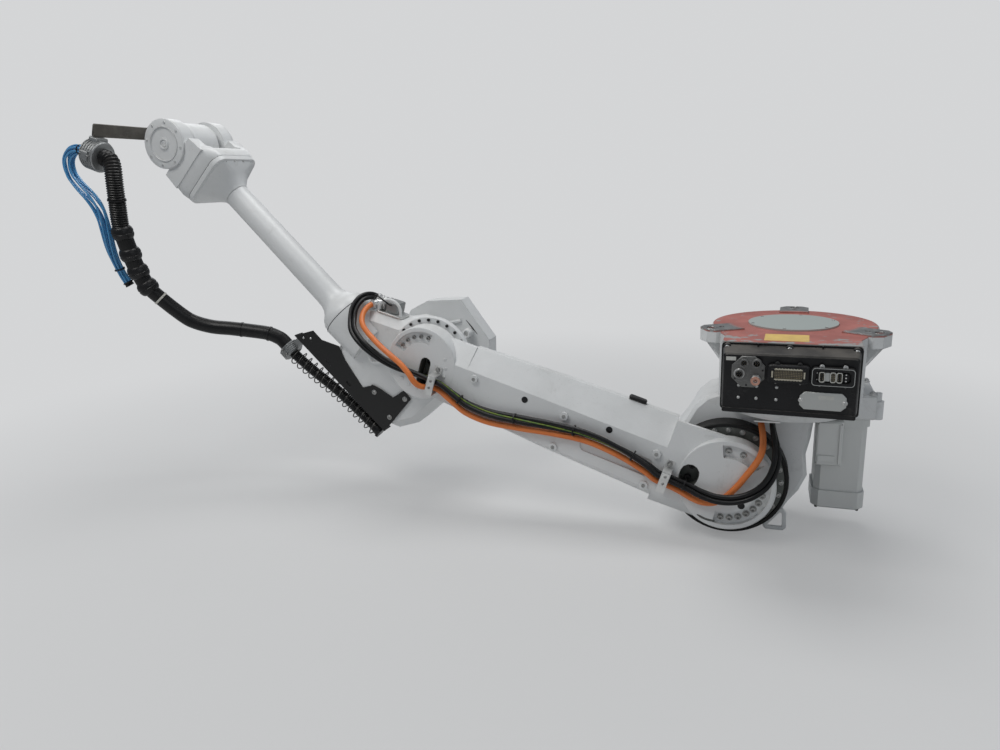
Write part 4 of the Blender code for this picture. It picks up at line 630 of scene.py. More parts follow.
def finish(name):
    """A finish's material, made the first time that it is asked for."""
    known = bpy.data.materials.get(name)
    if known:
        return known
    (colour, patch, dirt_colour, bare_colour, patch_scale, patches, dirt, dust, wear, grain, depth, rough,
     edge, metallic, scratches) = FINISHES[name]
    if isinstance(colour, str):
        colour = tuple(getattr(bpy.context.scene.robot_colours, COLOUR_NAMES[colour]))
    made = bpy.data.materials.new(name)
    made.use_nodes = True
    tree = made.node_tree
    shader = tree.nodes["Principled BSDF"]
    place = node(tree, "TexCoord").outputs["Object"]
    surface = tree.nodes.new("ShaderNodeGroup")
    surface.node_tree = worn_surface()
    values = {"Place": place, "Colour": colour, "Patch Colour": patch, "Dirt Colour": dirt_colour,
              "Bare Colour": bare_colour, "Patch Scale": patch_scale, "Patches": patches, "Dirt": dirt,
              "Dust": dust, "Wear": wear, "Grain Scale": grain, "Grain Depth": depth, "Roughness": rough,
              "Edge Round": edge}
    for label, value in values.items():
        put(tree, surface.inputs[label], value)
    out = surface.outputs["Colour"]
    if scratches:
        lines = tree.nodes.new("ShaderNodeGroup")
        lines.node_tree = scratched()
        for label, value in {"Place": place, "Scale": 22.0, "Amount": scratches}.items():
            put(tree, lines.inputs[label], value)
        out = mixed(tree, sums(tree, "MULTIPLY", lines.outputs["Lines"], 0.55), out, bare_colour)
    shader.inputs["Metallic"].default_value = metallic
    if max(patch) < 0.03:
        shader.inputs["Specular IOR Level"].default_value = 0.32
    if name == "tube_blue":
        shader.inputs["Coat Weight"].default_value = 0.6
    tree.links.new(out, shader.inputs["Base Color"])
    tree.links.new(surface.outputs["Roughness"], shader.inputs["Roughness"])
    tree.links.new(surface.outputs["Normal"], shader.inputs["Normal"])
    return made


# Routes of the cables and hoses, in their arm's own frame, as the solids have them.

CLAMPS = (0.1820, 1.0260)
POWER_RADIUS = 0.0100
SIGNAL_RADIUS = 0.0165
BEAM_FACES = (0.172, 0.158)


def beam_face(along):
    """The height of the lower arm's broad face at a place along it."""
    return BEAM_FACES[0] + (BEAM_FACES[1] - BEAM_FACES[0]) * along / LOWER_LENGTH


def arm_run(shares, lift):
    """The stretch between the two clamps: shares of its length, each with a height on the arm's face."""
    start, stop = CLAMPS[0] - 0.0137, CLAMPS[1] + 0.0137
    return [(start + share * (stop - start), beam_face(start + share * (stop - start)) + 0.004 + lift, up)
            for share, up in shares]


POWER_ROUTE = [
    (-0.029, 0.098, 0.2180), (-0.0328, 0.098, 0.2066), (-0.044, 0.138, 0.190), (-0.053, 0.176, 0.168),
    (-0.056, 0.193, 0.140), (-0.051, 0.190, 0.100), (-0.042, 0.186, 0.060), (-0.030, 0.186, 0.015),
    (-0.012, 0.186, -0.030), (0.012, 0.186, -0.062), (0.045, 0.186, -0.077), (0.080, 0.186, -0.078),
    (0.115, 0.186, -0.072), (0.1477, 0.186, -0.068),
    *arm_run(((0.025, -0.068), (0.05, -0.066), (0.10, -0.052), (0.20, -0.036), (0.33, -0.032), (0.46, -0.052),
              (0.60, -0.082), (0.72, -0.104), (0.82, -0.104), (0.89, -0.084), (0.95, -0.064), (0.98, -0.062)),
             POWER_RADIUS),
    (1.062, 0.198, -0.064), (1.084, 0.214, -0.050), (1.108, 0.218, -0.028), (1.145, 0.214, -0.008),
    (1.190, 0.208, 0.006), (1.240, 0.194, 0.017), (1.283, 0.175, 0.026), (1.325, 0.152, 0.034),
    (1.365, 0.122, 0.044), (1.388, 0.092, 0.060), (1.397, 0.060, 0.080), (1.392, 0.030, 0.096),
    (1.3740, 0.002, 0.1030), (1.3440, 0.002, 0.1039)]
SIGNAL_ROUTE = [
    (-0.060, 0.098, 0.2286), (-0.0638, 0.098, 0.2172), (-0.076, 0.136, 0.199), (-0.092, 0.176, 0.174),
    (-0.103, 0.202, 0.142), (-0.106, 0.212, 0.100), (-0.096, 0.217, 0.055), (-0.069, 0.219, 0.013),
    (-0.030, 0.219, -0.018), (0.015, 0.216, -0.036), (0.061, 0.208, -0.042), (0.105, 0.199, -0.041),
    (0.1512, 0.1965, -0.040),
    *arm_run(((0.025, -0.040), (0.05, -0.038), (0.10, -0.023), (0.20, -0.007), (0.33, -0.003), (0.46, -0.020),
              (0.60, -0.046), (0.72, -0.066), (0.82, -0.067), (0.89, -0.051), (0.95, -0.035), (0.98, -0.034)),
             SIGNAL_RADIUS + 0.004),
    (1.070, 0.181, -0.034), (1.100, 0.180, -0.035), (1.140, 0.180, -0.037), (1.187, 0.181, -0.036),
    (1.239, 0.182, -0.028), (1.292, 0.180, -0.014), (1.340, 0.172, 0.003), (1.384, 0.150, 0.022),
    (1.413, 0.115, 0.044), (1.431, 0.082, 0.079), (1.431, 0.040, 0.110), (1.414, -0.008, 0.117),
    (1.3770, -0.032, 0.1029), (1.3440, -0.032, 0.1039)]
SIGNAL_TWIST = 1.5
CABLE_SPACING = 0.008
# Where the cables are parted, and two points at each of the two joints that they pass.
FIRST_CLAMP = (CLAMPS[0], 0.190, -0.050)
BASE_BEND = ((-0.030, 0.150, 0.190), (0.100, 0.190, -0.050))
ELBOW_BEND = ((1.045, 0.190, 0.0), (1.270, 0.190, 0.0))
# The split clamp at the tray, and the two points of the hose's route that its balls stand between.
TRAY_CLAMP = (0.435, 0.030, -0.455)
HOSE_WRAP = (5, 8)
HOSE_ROUTE = [
    (1.3277, 0.300, -0.3025), (1.3010, 0.300, -0.2891), (1.2720, 0.304, -0.3030), (1.2400, 0.304, -0.3380),
    (1.1930, 0.298, -0.3970), (1.1410, 0.285, -0.4680), (1.0730, 0.265, -0.5310), (1.0200, 0.245, -0.5770),
    (0.9640, 0.225, -0.6100), (0.9000, 0.195, -0.6250), (0.8160, 0.160, -0.6320), (0.7730, 0.140, -0.6280),
    (0.7150, 0.115, -0.6000), (0.6560, 0.090, -0.5540), (0.5990, 0.065, -0.5120), (0.5450, 0.045, -0.4740),
    (0.5050, 0.034, -0.4580), (0.4840, 0.030, -0.4550), (0.4553, 0.030, -0.4550)]
AIR_ROUTE = [
    (1.3820, 0.300, -0.3298), (1.4085, 0.300, -0.3432), (1.4460, 0.300, -0.3760), (1.4470, 0.301, -0.4240),
    (1.4080, 0.301, -0.4590), (1.3440, 0.300, -0.4640), (1.2820, 0.299, -0.4640), (1.2260, 0.296, -0.4840),
    (1.1770, 0.288, -0.5300), (1.1250, 0.274, -0.5860), (1.0680, 0.254, -0.6330), (1.0100, 0.236, -0.6620)]
TRAY_HOSE_ROUTE = [
    (0.4147, 0.030, -0.4550), (0.3957, 0.030, -0.4550), (0.3147, 0.030, -0.4450), (0.1647, 0.030, -0.4210),
    (-0.0453, 0.030, -0.4070)]


class RobotSizes(bpy.types.PropertyGroup):
    """Sizes of the pieces that the scene adds."""
    signal_cord: bpy.props.FloatProperty(name="Signal cable", description="Diameter of a black signal cable",
                                         default=0.0162, unit="LENGTH")
    earth_cord: bpy.props.FloatProperty(name="Earth wire", description="Diameter of the green earth wire",
                                        default=0.0046, unit="LENGTH")
    ridge_pitch: bpy.props.FloatProperty(name="Hose ridges", description="Distance between the hose's ridges",
                                         default=0.0085, unit="LENGTH")
    ball_radius: bpy.props.FloatProperty(name="Hose balls", description="Radius of the hose's guide balls",
                                         default=0.0390, unit="LENGTH")
    air_tube: bpy.props.FloatProperty(name="Air tube", description="Diameter of an air tube",
                                      default=0.0074, unit="LENGTH")
    air_tubes: bpy.props.IntProperty(name="Air tubes", description="Number of air tubes in the bundle",
                                     default=10, min=1, max=12)
    spring_radius: bpy.props.FloatProperty(name="Spring", description="Radius of the tray hose's spring",
                                           default=0.0320, unit="LENGTH")
    spring_pitch: bpy.props.FloatProperty(name="Spring pitch", description="Distance between its coils",
                                          default=0.0310, unit="LENGTH")
    screw: bpy.props.FloatProperty(name="Screw head", description="Radius of a large socket screw's head",
                                   default=0.0085, unit="LENGTH")


class RobotColours(bpy.types.PropertyGroup):
    """Colours that a user would change first."""
    body_paint: bpy.props.FloatVectorProperty(name="Body paint", description="Paint of the castings",
                                              subtype="COLOR", size=3, default=(0.745, 0.755, 0.755))
    motor_paint: bpy.props.FloatVectorProperty(name="Motor paint", description="Paint of the motors",
                                               subtype="COLOR", size=3, default=(0.60, 0.61, 0.605))
    base_oxide: bpy.props.FloatVectorProperty(name="Oxide paint", description="Paint of the mounting face",
                                              subtype="COLOR", size=3, default=(0.345, 0.112, 0.092))
    disc_paint: bpy.props.FloatVectorProperty(name="Disc paint", description="Paint of the round cover",
                                              subtype="COLOR", size=3, default=(0.330, 0.370, 0.350))
    cable_orange: bpy.props.FloatVectorProperty(name="Power cable", description="Jacket of the power cable",
                                                subtype="COLOR", size=3, default=(0.78, 0.215, 0.050))
    tube_blue: bpy.props.FloatVectorProperty(name="Air tubes", description="Colour of the air tubes",
                                             subtype="COLOR", size=3, default=(0.070, 0.300, 0.580))
    floor: bpy.props.FloatVectorProperty(name="Floor", description="Colour of the studio's floor",
                                         subtype="COLOR", size=3, default=(0.62, 0.62, 0.615))


def base_finish():
    """The base's paint: white on its sides, worn red oxide on its upper face and bare pads at its bolts."""
    made = finish("base_paint")
    tree = made.node_tree
    if tree.nodes.get("upper face"):
        return made
    shader = tree.nodes["Principled BSDF"]
    place = node(tree, "TexCoord").outputs["Object"]
    parts = node(tree, "SeparateXYZ", {0: place})
    x, y, z = parts.outputs
    radius = sums(tree, "SQRT", sums(tree, "ADD", sums(tree, "MULTIPLY", x, x), sums(tree, "MULTIPLY", y, y)))
    face = band(tree, z, -0.0075, -0.0055)
    face.node.name = "upper face"
    rim = band(tree, sums(tree, "ADD", radius, cloud(tree, place, 28.0, 4.0, 0.7)), 0.80, 0.86, 1.0, 0.0)
    worn = band(tree, cloud(tree, place, 13.0, 8.0, 0.72, warp=0.8), 0.70, 0.78, 1.0, 0.30)
    streak = node(tree, "Mapping", {"Vector": place, "Scale": (5.0, 26.0, 1.0), "Rotation": (0, 0, 0.5)})
    streaks = band(tree, cloud(tree, streak.outputs[0], 4.0, 5.0, 0.7), 0.62, 0.74, 1.0, 0.72)
    oxide = sums(tree, "MULTIPLY", sums(tree, "MULTIPLY", face, rim), sums(tree, "MULTIPLY", worn, streaks))
    red = tuple(bpy.context.scene.robot_colours.base_oxide)
    dull = mixed(tree, band(tree, cloud(tree, place, 8.0, 5.0, 0.65), 0.35, 0.70), red,
                 tuple(value * 1.30 + 0.012 for value in red))
    pads = sums(tree, "MULTIPLY", band(tree, z, -0.0035, -0.0020), band(tree, radius, 0.180, 0.205))
    before = shader.inputs["Base Color"].links[0].from_socket
    grey = mixed(tree, face, before, (0.32, 0.32, 0.31))
    colour = mixed(tree, oxide, grey, dull)
    metal = mixed(tree, band(tree, cloud(tree, place, 45.0, 6.0, 0.7), 0.35, 0.70), (0.25, 0.25, 0.245),
                  (0.42, 0.42, 0.41))
    colour = mixed(tree, pads, colour, metal)
    tree.links.new(colour, shader.inputs["Base Color"])
    tree.links.new(sums(tree, "MULTIPLY", pads, 0.85), shader.inputs["Metallic"])
    return made


NODE_FINISHES = {
    "base_cover_disc": "disc_paint", "connector_cover": "cover_moulding",
    "round_connector_plate": "socket_plate", "signal_connector": "zinc_metal",
    "multi_pin_connector": "black_plastic", "modular_connector": "black_plastic",
    "connector_blanking_plate": "grey_plate", "turret_frame": "body_paint",
    "axis1_motor": "motor_paint", "axis1_motor_box": "motor_paint", "axis2_gearbox_ring": "ring_grease",
    "axis2_seal": "seal_rubber", "axis2_motor": "motor_paint", "lifting_lug": "body_paint",
    "turret_cable_strap": "zinc_metal", "lower_arm_casting": "body_paint",
    "lower_arm_cap": "black_plastic", "cable_clamp_axis2": "zinc_metal",
    "cable_clamp_axis3": "zinc_metal", "elbow_housing": "body_paint",
    "axis3_gearbox_ring": "body_paint", "axis3_motor_hood": "body_paint",
    "elbow_connector_base": "zinc_metal", "elbow_connector_block": "clamp_metal",
    "elbow_connector_hoop": "body_paint", "hose_tray": "black_sheet", "tray_bracket": "black_sheet",
    "tray_hose_clamp": "clamp_metal", "tray_hose": "hose_rubber", "arm_tube": "body_paint",
    "wrist_fork": "body_paint", "wrist_cover_near": "body_paint", "wrist_cover_far": "body_paint",
    "tilt_housing": "body_paint", "tool_flange_disc": "flange_steel", "tool_bar": "bar_steel",
    "hose_clamp": "clamp_metal",
}


class ROBOT_OT_finish_castings(bpy.types.Operator):
    """Give every solid of the frame its paint, metal or moulding and smooth its round faces"""
    bl_idname = "robot.finish_castings"
    bl_label = "Finish castings"

    def execute(self, context):
        for name, look in NODE_FINISHES.items():
            dress_solid(frame["nodes"][name], finish(look))
        dress_solid(frame["nodes"]["base_casting"], base_finish())
        return {"FINISHED"}


def dress_solid(part, material):
    """Give a solid its material, and by modifiers alone weld it and split its edges over 32 degrees."""
    part.data.materials.clear()
    part.data.materials.append(material)
    part.data.polygons.foreach_set("use_smooth", np.ones(len(part.data.polygons), bool))
    weld = part.modifiers.new("weld", "WELD")
    weld.merge_threshold = 0.00002
    edges = part.modifiers.new("edges", "EDGE_SPLIT")
    edges.split_angle = math.radians(32)
    edges.use_edge_sharp = False


def lay_cable(name, line, diameter, look, replaced=((), ())):
    """A cable in two lengths that meet in the first clamp."""
    at = int(np.argmin(np.linalg.norm(line - within(LOWER, FIRST_CLAMP)[0], axis=1)))
    for label, length, bodies, bend, stood_for in (
            ("base_loop", line[:at + 1], ("turret", "lower_arm"), BASE_BEND, replaced[0]),
            ("arm_run", line[at:], ("lower_arm", "upper_arm"), ELBOW_BEND, replaced[1])):
        made = piece(f"{name}_{label}", [tube(length, diameter / 2, 18)], look, bodies, stood_for, 60,
                     within(LOWER, bend))


def cable_sleeve(line, radius):
    """A ribbed metal sleeve over the last stretch of a cable."""
    end = smooth_line(line[-9:], 0.002)
    walls = np.where(np.arange(len(end)) % 10 < 4, 0.0062, 0.0036)
    walls[:2] = 0.0012
    return tube(end, radius + walls, 24)


def strap_round(line, at, radius, width, thickness=0.0013):
    """A cable tie: a flat band round a line at one of its points, with its lock as a block on it."""
    outer = radius + thickness
    strap = hoop([(radius, -width / 2), (outer, -width / 2), (outer, width / 2), (radius, width / 2)], 32)
    block = slab(0.0060, 0.0052, 0.0008)
    lock = moved(stacked([(block, 0.0), (block, 0.0045)]), stand(np.eye(4), (radius, 0, 0), (1, 0, 0)))
    return moved(together([strap, lock]), place_on(line, at))


def gland_on(end, ahead, radius, length, reach, steps=24):
    """A gland that stands past a line's end and faces back along it."""
    place = end + ahead / np.linalg.norm(ahead) * reach
    return moved(gland(radius, length, steps), stand(np.eye(4), place, -ahead))


class ROBOT_OT_lay_cables(bpy.types.Operator):
    """Lay the power cable, the two signal cables and the earth wire along the lower arm"""
    bl_idname = "robot.lay_cables"
    bl_label = "Lay cables"

    def execute(self, context):
        sizes = context.scene.robot_sizes
        power = smooth_line(within(LOWER, POWER_ROUTE), CABLE_SPACING)
        lay_cable("orange_power_cable", power, 2 * POWER_RADIUS, "cable_orange",
                  (("power_cable_axis2_loop",), ("power_cable_arm_run", "power_cable_axis3_loop")))
        middle = smooth_line(within(LOWER, SIGNAL_ROUTE), CABLE_SPACING)
        sleeves = [cable_sleeve(power, POWER_RADIUS), cable_sleeve(middle, SIGNAL_RADIUS)]
        piece("cable_sleeves", sleeves, "zinc_metal", "upper_arm")
        half = sizes.signal_cord / 2
        stood_for = (("signal_cables_axis2_loop",), ("signal_cables_arm_run", "signal_cables_axis3_loop"))
        for name, side, replaced in (("near", 0.0, stood_for), ("far", math.pi, ((), ()))):
            line = beside(middle, half + 0.0001, side, SIGNAL_TWIST)
            lay_cable(f"signal_cable_{name}", line, sizes.signal_cord, "cable_black",
                      replaced)
        rise = math.sqrt((half + sizes.earth_cord / 2) ** 2 - half ** 2) + 0.0005
        line = beside(middle, rise, math.pi / 2, SIGNAL_TWIST)
        lay_cable("earth_wire", line, sizes.earth_cord, "cable_green")
        ties = [strap_round(middle, int(share * (len(middle) - 1)), SIGNAL_RADIUS + 0.0009, 0.0046)
                for share in (0.24, 0.33, 0.43, 0.53, 0.63)]
        piece("signal_cable_ties", ties, "black_plastic", "lower_arm")
        return {"FINISHED"}


class ROBOT_OT_hang_hose(bpy.types.Operator):
    """Hang the ridged hose, its guide balls and its ties from the tool to the tray"""
    bl_idname = "robot.hang_hose"
    bl_label = "Hang hose"

    def execute(self, context):
        sizes = context.scene.robot_sizes
        smooth, tie_inside = 0.0275, 0.0282
        line = smooth_line(within(UPPER, HOSE_ROUTE), sizes.ridge_pitch / 4)
        travelled = np.concatenate([[0], np.cumsum(np.linalg.norm(np.diff(line, axis=0), axis=1))])
        start, stop = (travelled[np.argmin(np.linalg.norm(line - within(UPPER, HOSE_ROUTE[knot]), axis=1))]
                       for knot in HOSE_WRAP)
        wave = 0.5 - 0.5 * np.cos(2 * math.pi * travelled / sizes.ridge_pitch)
        radii = np.where(travelled < start, 0.0262 + 0.0042 * wave ** 0.6, smooth)
        radii = np.where((travelled >= start) & (travelled < stop), 0.0306, radii)

        rise = np.radians([-90, -68, -46, -26, -8, -4, 4, 8, 26, 46, 68, 90])
        groove = np.where(np.abs(rise) < 0.1, 0.0014, 0.0)
        inside, reach = 0.0272, sizes.ball_radius
        ball = hoop([(inside + (reach - inside) * math.cos(a) - cut, reach * 0.62 * math.sin(a))
                     for a, cut in zip(rise, groove)], 36)
        first = start + 0.016
        spots = first + np.array((0.0, 0.38, 0.70, 1.0)) * (stop - first)
        balls = [moved(ball, place_on(line, int(np.searchsorted(travelled, spot)))) for spot in spots]
        guide = piece("hose_guide_balls", balls, "black_plastic", "upper_arm")
        hose = piece("ridged_hose", [tube(line, radii, 28)], "hose_rubber", "upper_arm",
                     ("wrist_hose",), 50)
        white = strap_round(line, int(np.searchsorted(travelled, stop + 0.060)), tie_inside, 0.0075)
        tie = piece("hose_white_tie", [white], "tie_white", "upper_arm")
        darks = [strap_round(line, int(np.searchsorted(travelled, spot)), radius, 0.0060)
                 for spot, radius in ((start * 0.62, 0.0308), (travelled[-1] - 0.20, tie_inside),
                                      (travelled[-1] - 0.09, tie_inside))]
        dark = piece("hose_black_ties", darks, "black_plastic", "upper_arm")
        return {"FINISHED"}


class ROBOT_OT_hang_air_tubes(bpy.types.Operator):
    """Hang the bundle of blue air tubes beside the hose, seven of them round the rest"""
    bl_idname = "robot.hang_air_tubes"
    bl_label = "Hang air tubes"

    def execute(self, context):
        sizes = context.scene.robot_sizes
        middle = smooth_line(within(UPPER, AIR_ROUTE), CABLE_SPACING)
        share = np.linspace(0, 1, len(middle))
        count, outer = sizes.air_tubes, 7
        bulge = np.sin(math.pi * np.clip(share * 1.15, 0, 1)) ** 0.8
        for number in range(count):
            inner = number >= outer
            ring = 0.0042 if inner else 0.0112
            angle = 2 * math.pi * ((number - outer) / max(count - outer, 1) if inner else number / outer)
            wander = 0.0085 * np.sin(2 * math.pi * (share * (1.0 + 0.13 * number) + 0.31 * number)) * bulge
            spread = ring + bulge * (0.0050 + 0.0025 * math.sin(number * 2.3)) + np.abs(wander) * 0.5
            line = beside(middle, spread, angle, 0.35 + 0.05 * math.sin(number))
            line = smooth_line(line[::4], 0.006)
            made = piece(f"air_tube_{number + 1}", [tube(line, sizes.air_tube / 2, 12)], "tube_blue",
                         "upper_arm", () if number else ("air_tube_bundle",), 60)
            nose = gland_on(line[-1], line[-1] - line[-2], 0.0042, 0.016, 0.006, 18)
            fitting = piece(f"air_fitting_{number + 1}", [nose], "black_plastic", "upper_arm")
        ties = [strap_round(middle, int(spot * (len(middle) - 1)), radius, 0.0050)
                for spot, radius in ((0.08, 0.0172), (0.88, 0.0178), (0.97, 0.0168))]
        piece("air_tube_ties", ties, "black_plastic", "upper_arm")
        return {"FINISHED"}


class ROBOT_OT_wind_spring(bpy.types.Operator):
    """Lay the hose under the tray, wind its spring round it and close it with a gland"""
    bl_idname = "robot.wind_spring"
    bl_label = "Wind spring"

    def execute(self, context):
        sizes = context.scene.robot_sizes
        route = within(UPPER, TRAY_HOSE_ROUTE)
        middle = smooth_line(route, 0.004)
        close = smooth_line(route, sizes.ridge_pitch / 5)
        travelled = np.arange(len(close)) * line_length(close) / (len(close) - 1)
        waves = 0.0176 + 0.0028 * (0.5 - 0.5 * np.cos(2 * math.pi * travelled / sizes.ridge_pitch)) ** 0.6
        made = piece("tray_hose_cord", [tube(close, waves, 20)], "hose_rubber", "upper_arm",
                     ("tray_hose",), 60)
        fine = smooth_line(route, sizes.spring_pitch / 22)
        fine = fine[int(len(fine) * 0.02):int(len(fine) * 0.985)]
        coil = beside(fine, sizes.spring_radius, 0.0, line_length(middle) / sizes.spring_pitch)
        spring = piece("tray_hose_spring", [tube(coil, 0.0023, 8)], "spring_wire", "upper_arm",
                       (), 60)
        cap = gland_on(middle[-1], middle[-1] - middle[-4], 0.0225, 0.034, 0.008)
        nut = piece("tray_hose_gland", [cap], "black_plastic", "upper_arm")
        return {"FINISHED"}


def on_panel(across, up, out=0.0, spin=0.0):
    """Where a shape stands on the connector panel, facing out of it."""
    return stand(BASE, (across, PANEL_FACE - out, up), (0, -1, 0), spin)


def fit_disc():
    """The cover disc's screws and the bright rims of the base's bolt holes."""
    disc = ring_of(BASE, (0, 0), 0.1225, [20, 80, 140, 200, 260, 320], 0.0, "XY")
    screw = turned([(0.0050, -0.0001), (0.0050, 0.0006), (0.0036, 0.0010), (0.0034, 0.0003)], 18)
    fasten("disc_screws", [screw], disc, "screw_steel", "base")
    holes = ring_of(BASE, (0, 0), 0.266, [-30, 90, 210], 0.0, "XY")
    rim = hoop([(0.0140, 0.0001), (0.0205, 0.0001), (0.0200, 0.0007), (0.0143, 0.0007)], 32)
    fasten("bolt_hole_rims", [rim], holes, "screw_steel", "base")


def fit_cover_lip():
    """The lobes, screws and fins on the connector box's upper lip, and the screws in its panel."""
    lobes = [stand(BASE, (across, -0.3255, COVER_LIP), (0, -1, 0)) for across in LIP_SCREWS]
    fasten("cover_lobes", [stud(-0.014, (0.0105, 0.0024), (0.0092, 0.0036), 28)], lobes, "cover_moulding",
           "base")
    heads = [stand(BASE, (across, -0.3290, COVER_LIP), (0, -1, 0), across * 30) for across in LIP_SCREWS]
    fasten("cover_top_screws", [socket_screw(0.0056, 0.0036), washer(0.0068, 0.0008)], heads,
           "screw_bright", "base")
    fins = [stand(BASE, (across, -0.3150, -0.0125), (0, -1, 0)) for across in (-0.0830, 0.0810)]
    fasten("cover_fins", [plate(0.0032, 0.0180, 0.0120, 0.0008)], fins, "cover_moulding", "base")
    small = [on_panel(across, up, 0.0, across * 40) for up in (-0.109, -0.1436)
             for across in (-0.1254, -0.0792, -0.0282)]
    fasten("panel_screws", [button_screw(0.0046, 0.0030)], small, "screw_bright", "base")


def fit_round_plate():
    """The round plate's screws, its three dark sockets with their pins, and its threaded signal socket."""
    across, up = PLATE_AT
    screws = [on_panel(across + a, up + b, 0.0080, a * 90)
              for a, b in ((-0.034, -0.020), (0.037, 0.006), (-0.004, -0.037))]
    fasten("round_plate_screws", [socket_screw(0.0026, 0.0018)], screws, "screw_black", "base")
    rings, cores, pins = [], [], []
    for a, b, reach, wall in ((-0.25, 0.60, 0.0112, 0.0045), (0.50, 0.60, 0.0130, 0.0045),
                              (-0.52, -0.10, 0.0140, 0.0030)):
        a, b, inner = across + a * PLATE_HALF, up + b * PLATE_HALF, reach - wall
        mouth = on_panel(a, b, 0.0085)
        rings.append(moved(hoop([(inner, 0.0), (reach, 0.0), (reach, 0.0050), (reach - 0.0012, 0.0066),
                                 (inner, 0.0066)], 36), mouth))
        cores.append(moved(stud(0.0, (inner, 0.0040), (inner - 0.001, 0.0046), 20), mouth))
        pins += [on_panel(a + 0.0045 * math.cos(t), b + 0.0045 * math.sin(t), 0.0128)
                 for t in np.radians([0, 72, 144, 216, 288])]
    piece("socket_rims", rings[:2], "socket_plate", "base")
    piece("socket_bright_rim", rings[2:], "zinc_metal", "base")
    piece("socket_cores", cores, "black_plastic", "base")
    fasten("socket_pins", [stud(0.0, (0.0008, 0.0022), (0.0004, 0.0026), 8)], pins, "pin_metal", "base")
    signal = [on_panel(across + 0.48 * PLATE_HALF, up - 0.42 * PLATE_HALF, 0.0086)]
    nut = hoop([(0.0110, 0.0020), (0.0138, 0.0030), (0.0142, 0.0060), (0.0142, 0.0105), (0.0134, 0.0120),
                (0.0110, 0.0120)], 6)
    thread = hoop([(0.0112, 0.0120), (0.0126, 0.0130), (0.0126, 0.0200), (0.0112, 0.0210)], 32)
    fasten("signal_socket_thread", [nut, thread], signal, "zinc_metal", "base")
    collar = hoop([(0.0060, 0.0200), (0.0118, 0.0205), (0.0126, 0.0225), (0.0120, 0.0262), (0.0060, 0.0262)],
                  32)
    core = turned([(0.0060, 0.0150), (0.0060, 0.0160), (0.0018, 0.0160), (0.0014, 0.0235)], 16)
    fasten("signal_socket_rim", [collar, core], signal, "copper_rim", "base")


def fit_pin_connector():
    """The many-pin connector's gasket, with its corners and teeth, and its block. Gives its pins' places."""
    across, up = PIN_AT
    nooks = [on_panel(across + side * 0.0385, up + level * 0.0125, CONNECTOR_FRONT - 0.0090)
             for side, level in CORNERS]
    fasten("pin_gasket_corners", [plate(0.0085, 0.0075, 0.0112, 0.0015)], nooks, "black_plastic", "base")
    gasket = frame_between(slab(0.0830, 0.0305, 0.0030, 40), slab(0.0760, 0.0250, 0.0060, 40), -0.0090,
                           0.0018)
    teeth = [on_panel(across + a, up + b, CONNECTOR_FRONT - 0.0002)
             for a in np.linspace(-0.0295, 0.0295, 9) for b in (-0.0148, 0.0148)]
    piece("pin_gasket", [moved(gasket, on_panel(across, up, CONNECTOR_FRONT)),
                         moved(plate(0.0040, 0.0036, 0.0018, 0.0006), *teeth)],
          "gasket_beige", "base")
    fasten("pin_block", [plate(0.0756, 0.0246, 0.0060, 0.0050)],
           [on_panel(across, up, CONNECTOR_FRONT - 0.0088)], "pin_block", "base")
    return [on_panel(across + a, up + b, CONNECTOR_FRONT - 0.0030) for a in np.linspace(-0.0325, 0.0325, 17)
            for b in (-0.0090, -0.0045, 0.0, 0.0045, 0.0090)]


def fit_module_connector():
    """The modular connector's three inserts, middle plate, contacts and worn rim. Gives its pins' places."""
    across, up = MODULE_AT
    shifts = (-0.0270, -0.0005, 0.0145)
    rim = frame_between(slab(0.0142, 0.0278, 0.0054, 32), slab(0.0106, 0.0242, 0.0040, 32), -0.0100, 0.0012)
    fasten("module_rims", [rim], [on_panel(across + shift, up, CONNECTOR_FRONT) for shift in shifts],
           "label_white", "base")
    fasten("module_blocks", [plate(0.0110, 0.0244, 0.0080, 0.0030)],
           [on_panel(across + shift, up, CONNECTOR_FRONT - 0.0115) for shift in shifts], "pin_block", "base")
    fasten("module_middle", [plate(0.0115, 0.0240, 0.0060, 0.0010)],
           [on_panel(across - 0.0140, up, CONNECTOR_FRONT - 0.0100)], "grey_plate", "base")
    dots = [on_panel(across + 0.0300, up + b, CONNECTOR_FRONT - 0.0025) for b in (-0.0085, 0, 0.0085)]
    dots += [on_panel(across - 0.0385, up + b, CONNECTOR_FRONT - 0.0095) for b in (-0.0090, 0.0090)]
    fasten("module_contacts", [stud(-0.002, (0.0021, 0.0014), (0.0014, 0.0020), 14)], dots, "screw_bright",
           "base")
    worn = frame_between(slab(0.1020, 0.0470, 0.0090, 40), slab(0.0992, 0.0442, 0.0078, 40), 0.0, 0.0006)
    fasten("module_worn_rim", [worn], [on_panel(across, up, CONNECTOR_FRONT - 0.0001)], "grey_plate", "base")
    return [on_panel(across + shift + a, up + b, CONNECTOR_FRONT - 0.0045) for shift in shifts
            for a in (-0.0030, 0.0030) for b in (-0.0075, -0.0025, 0.0025, 0.0075)]


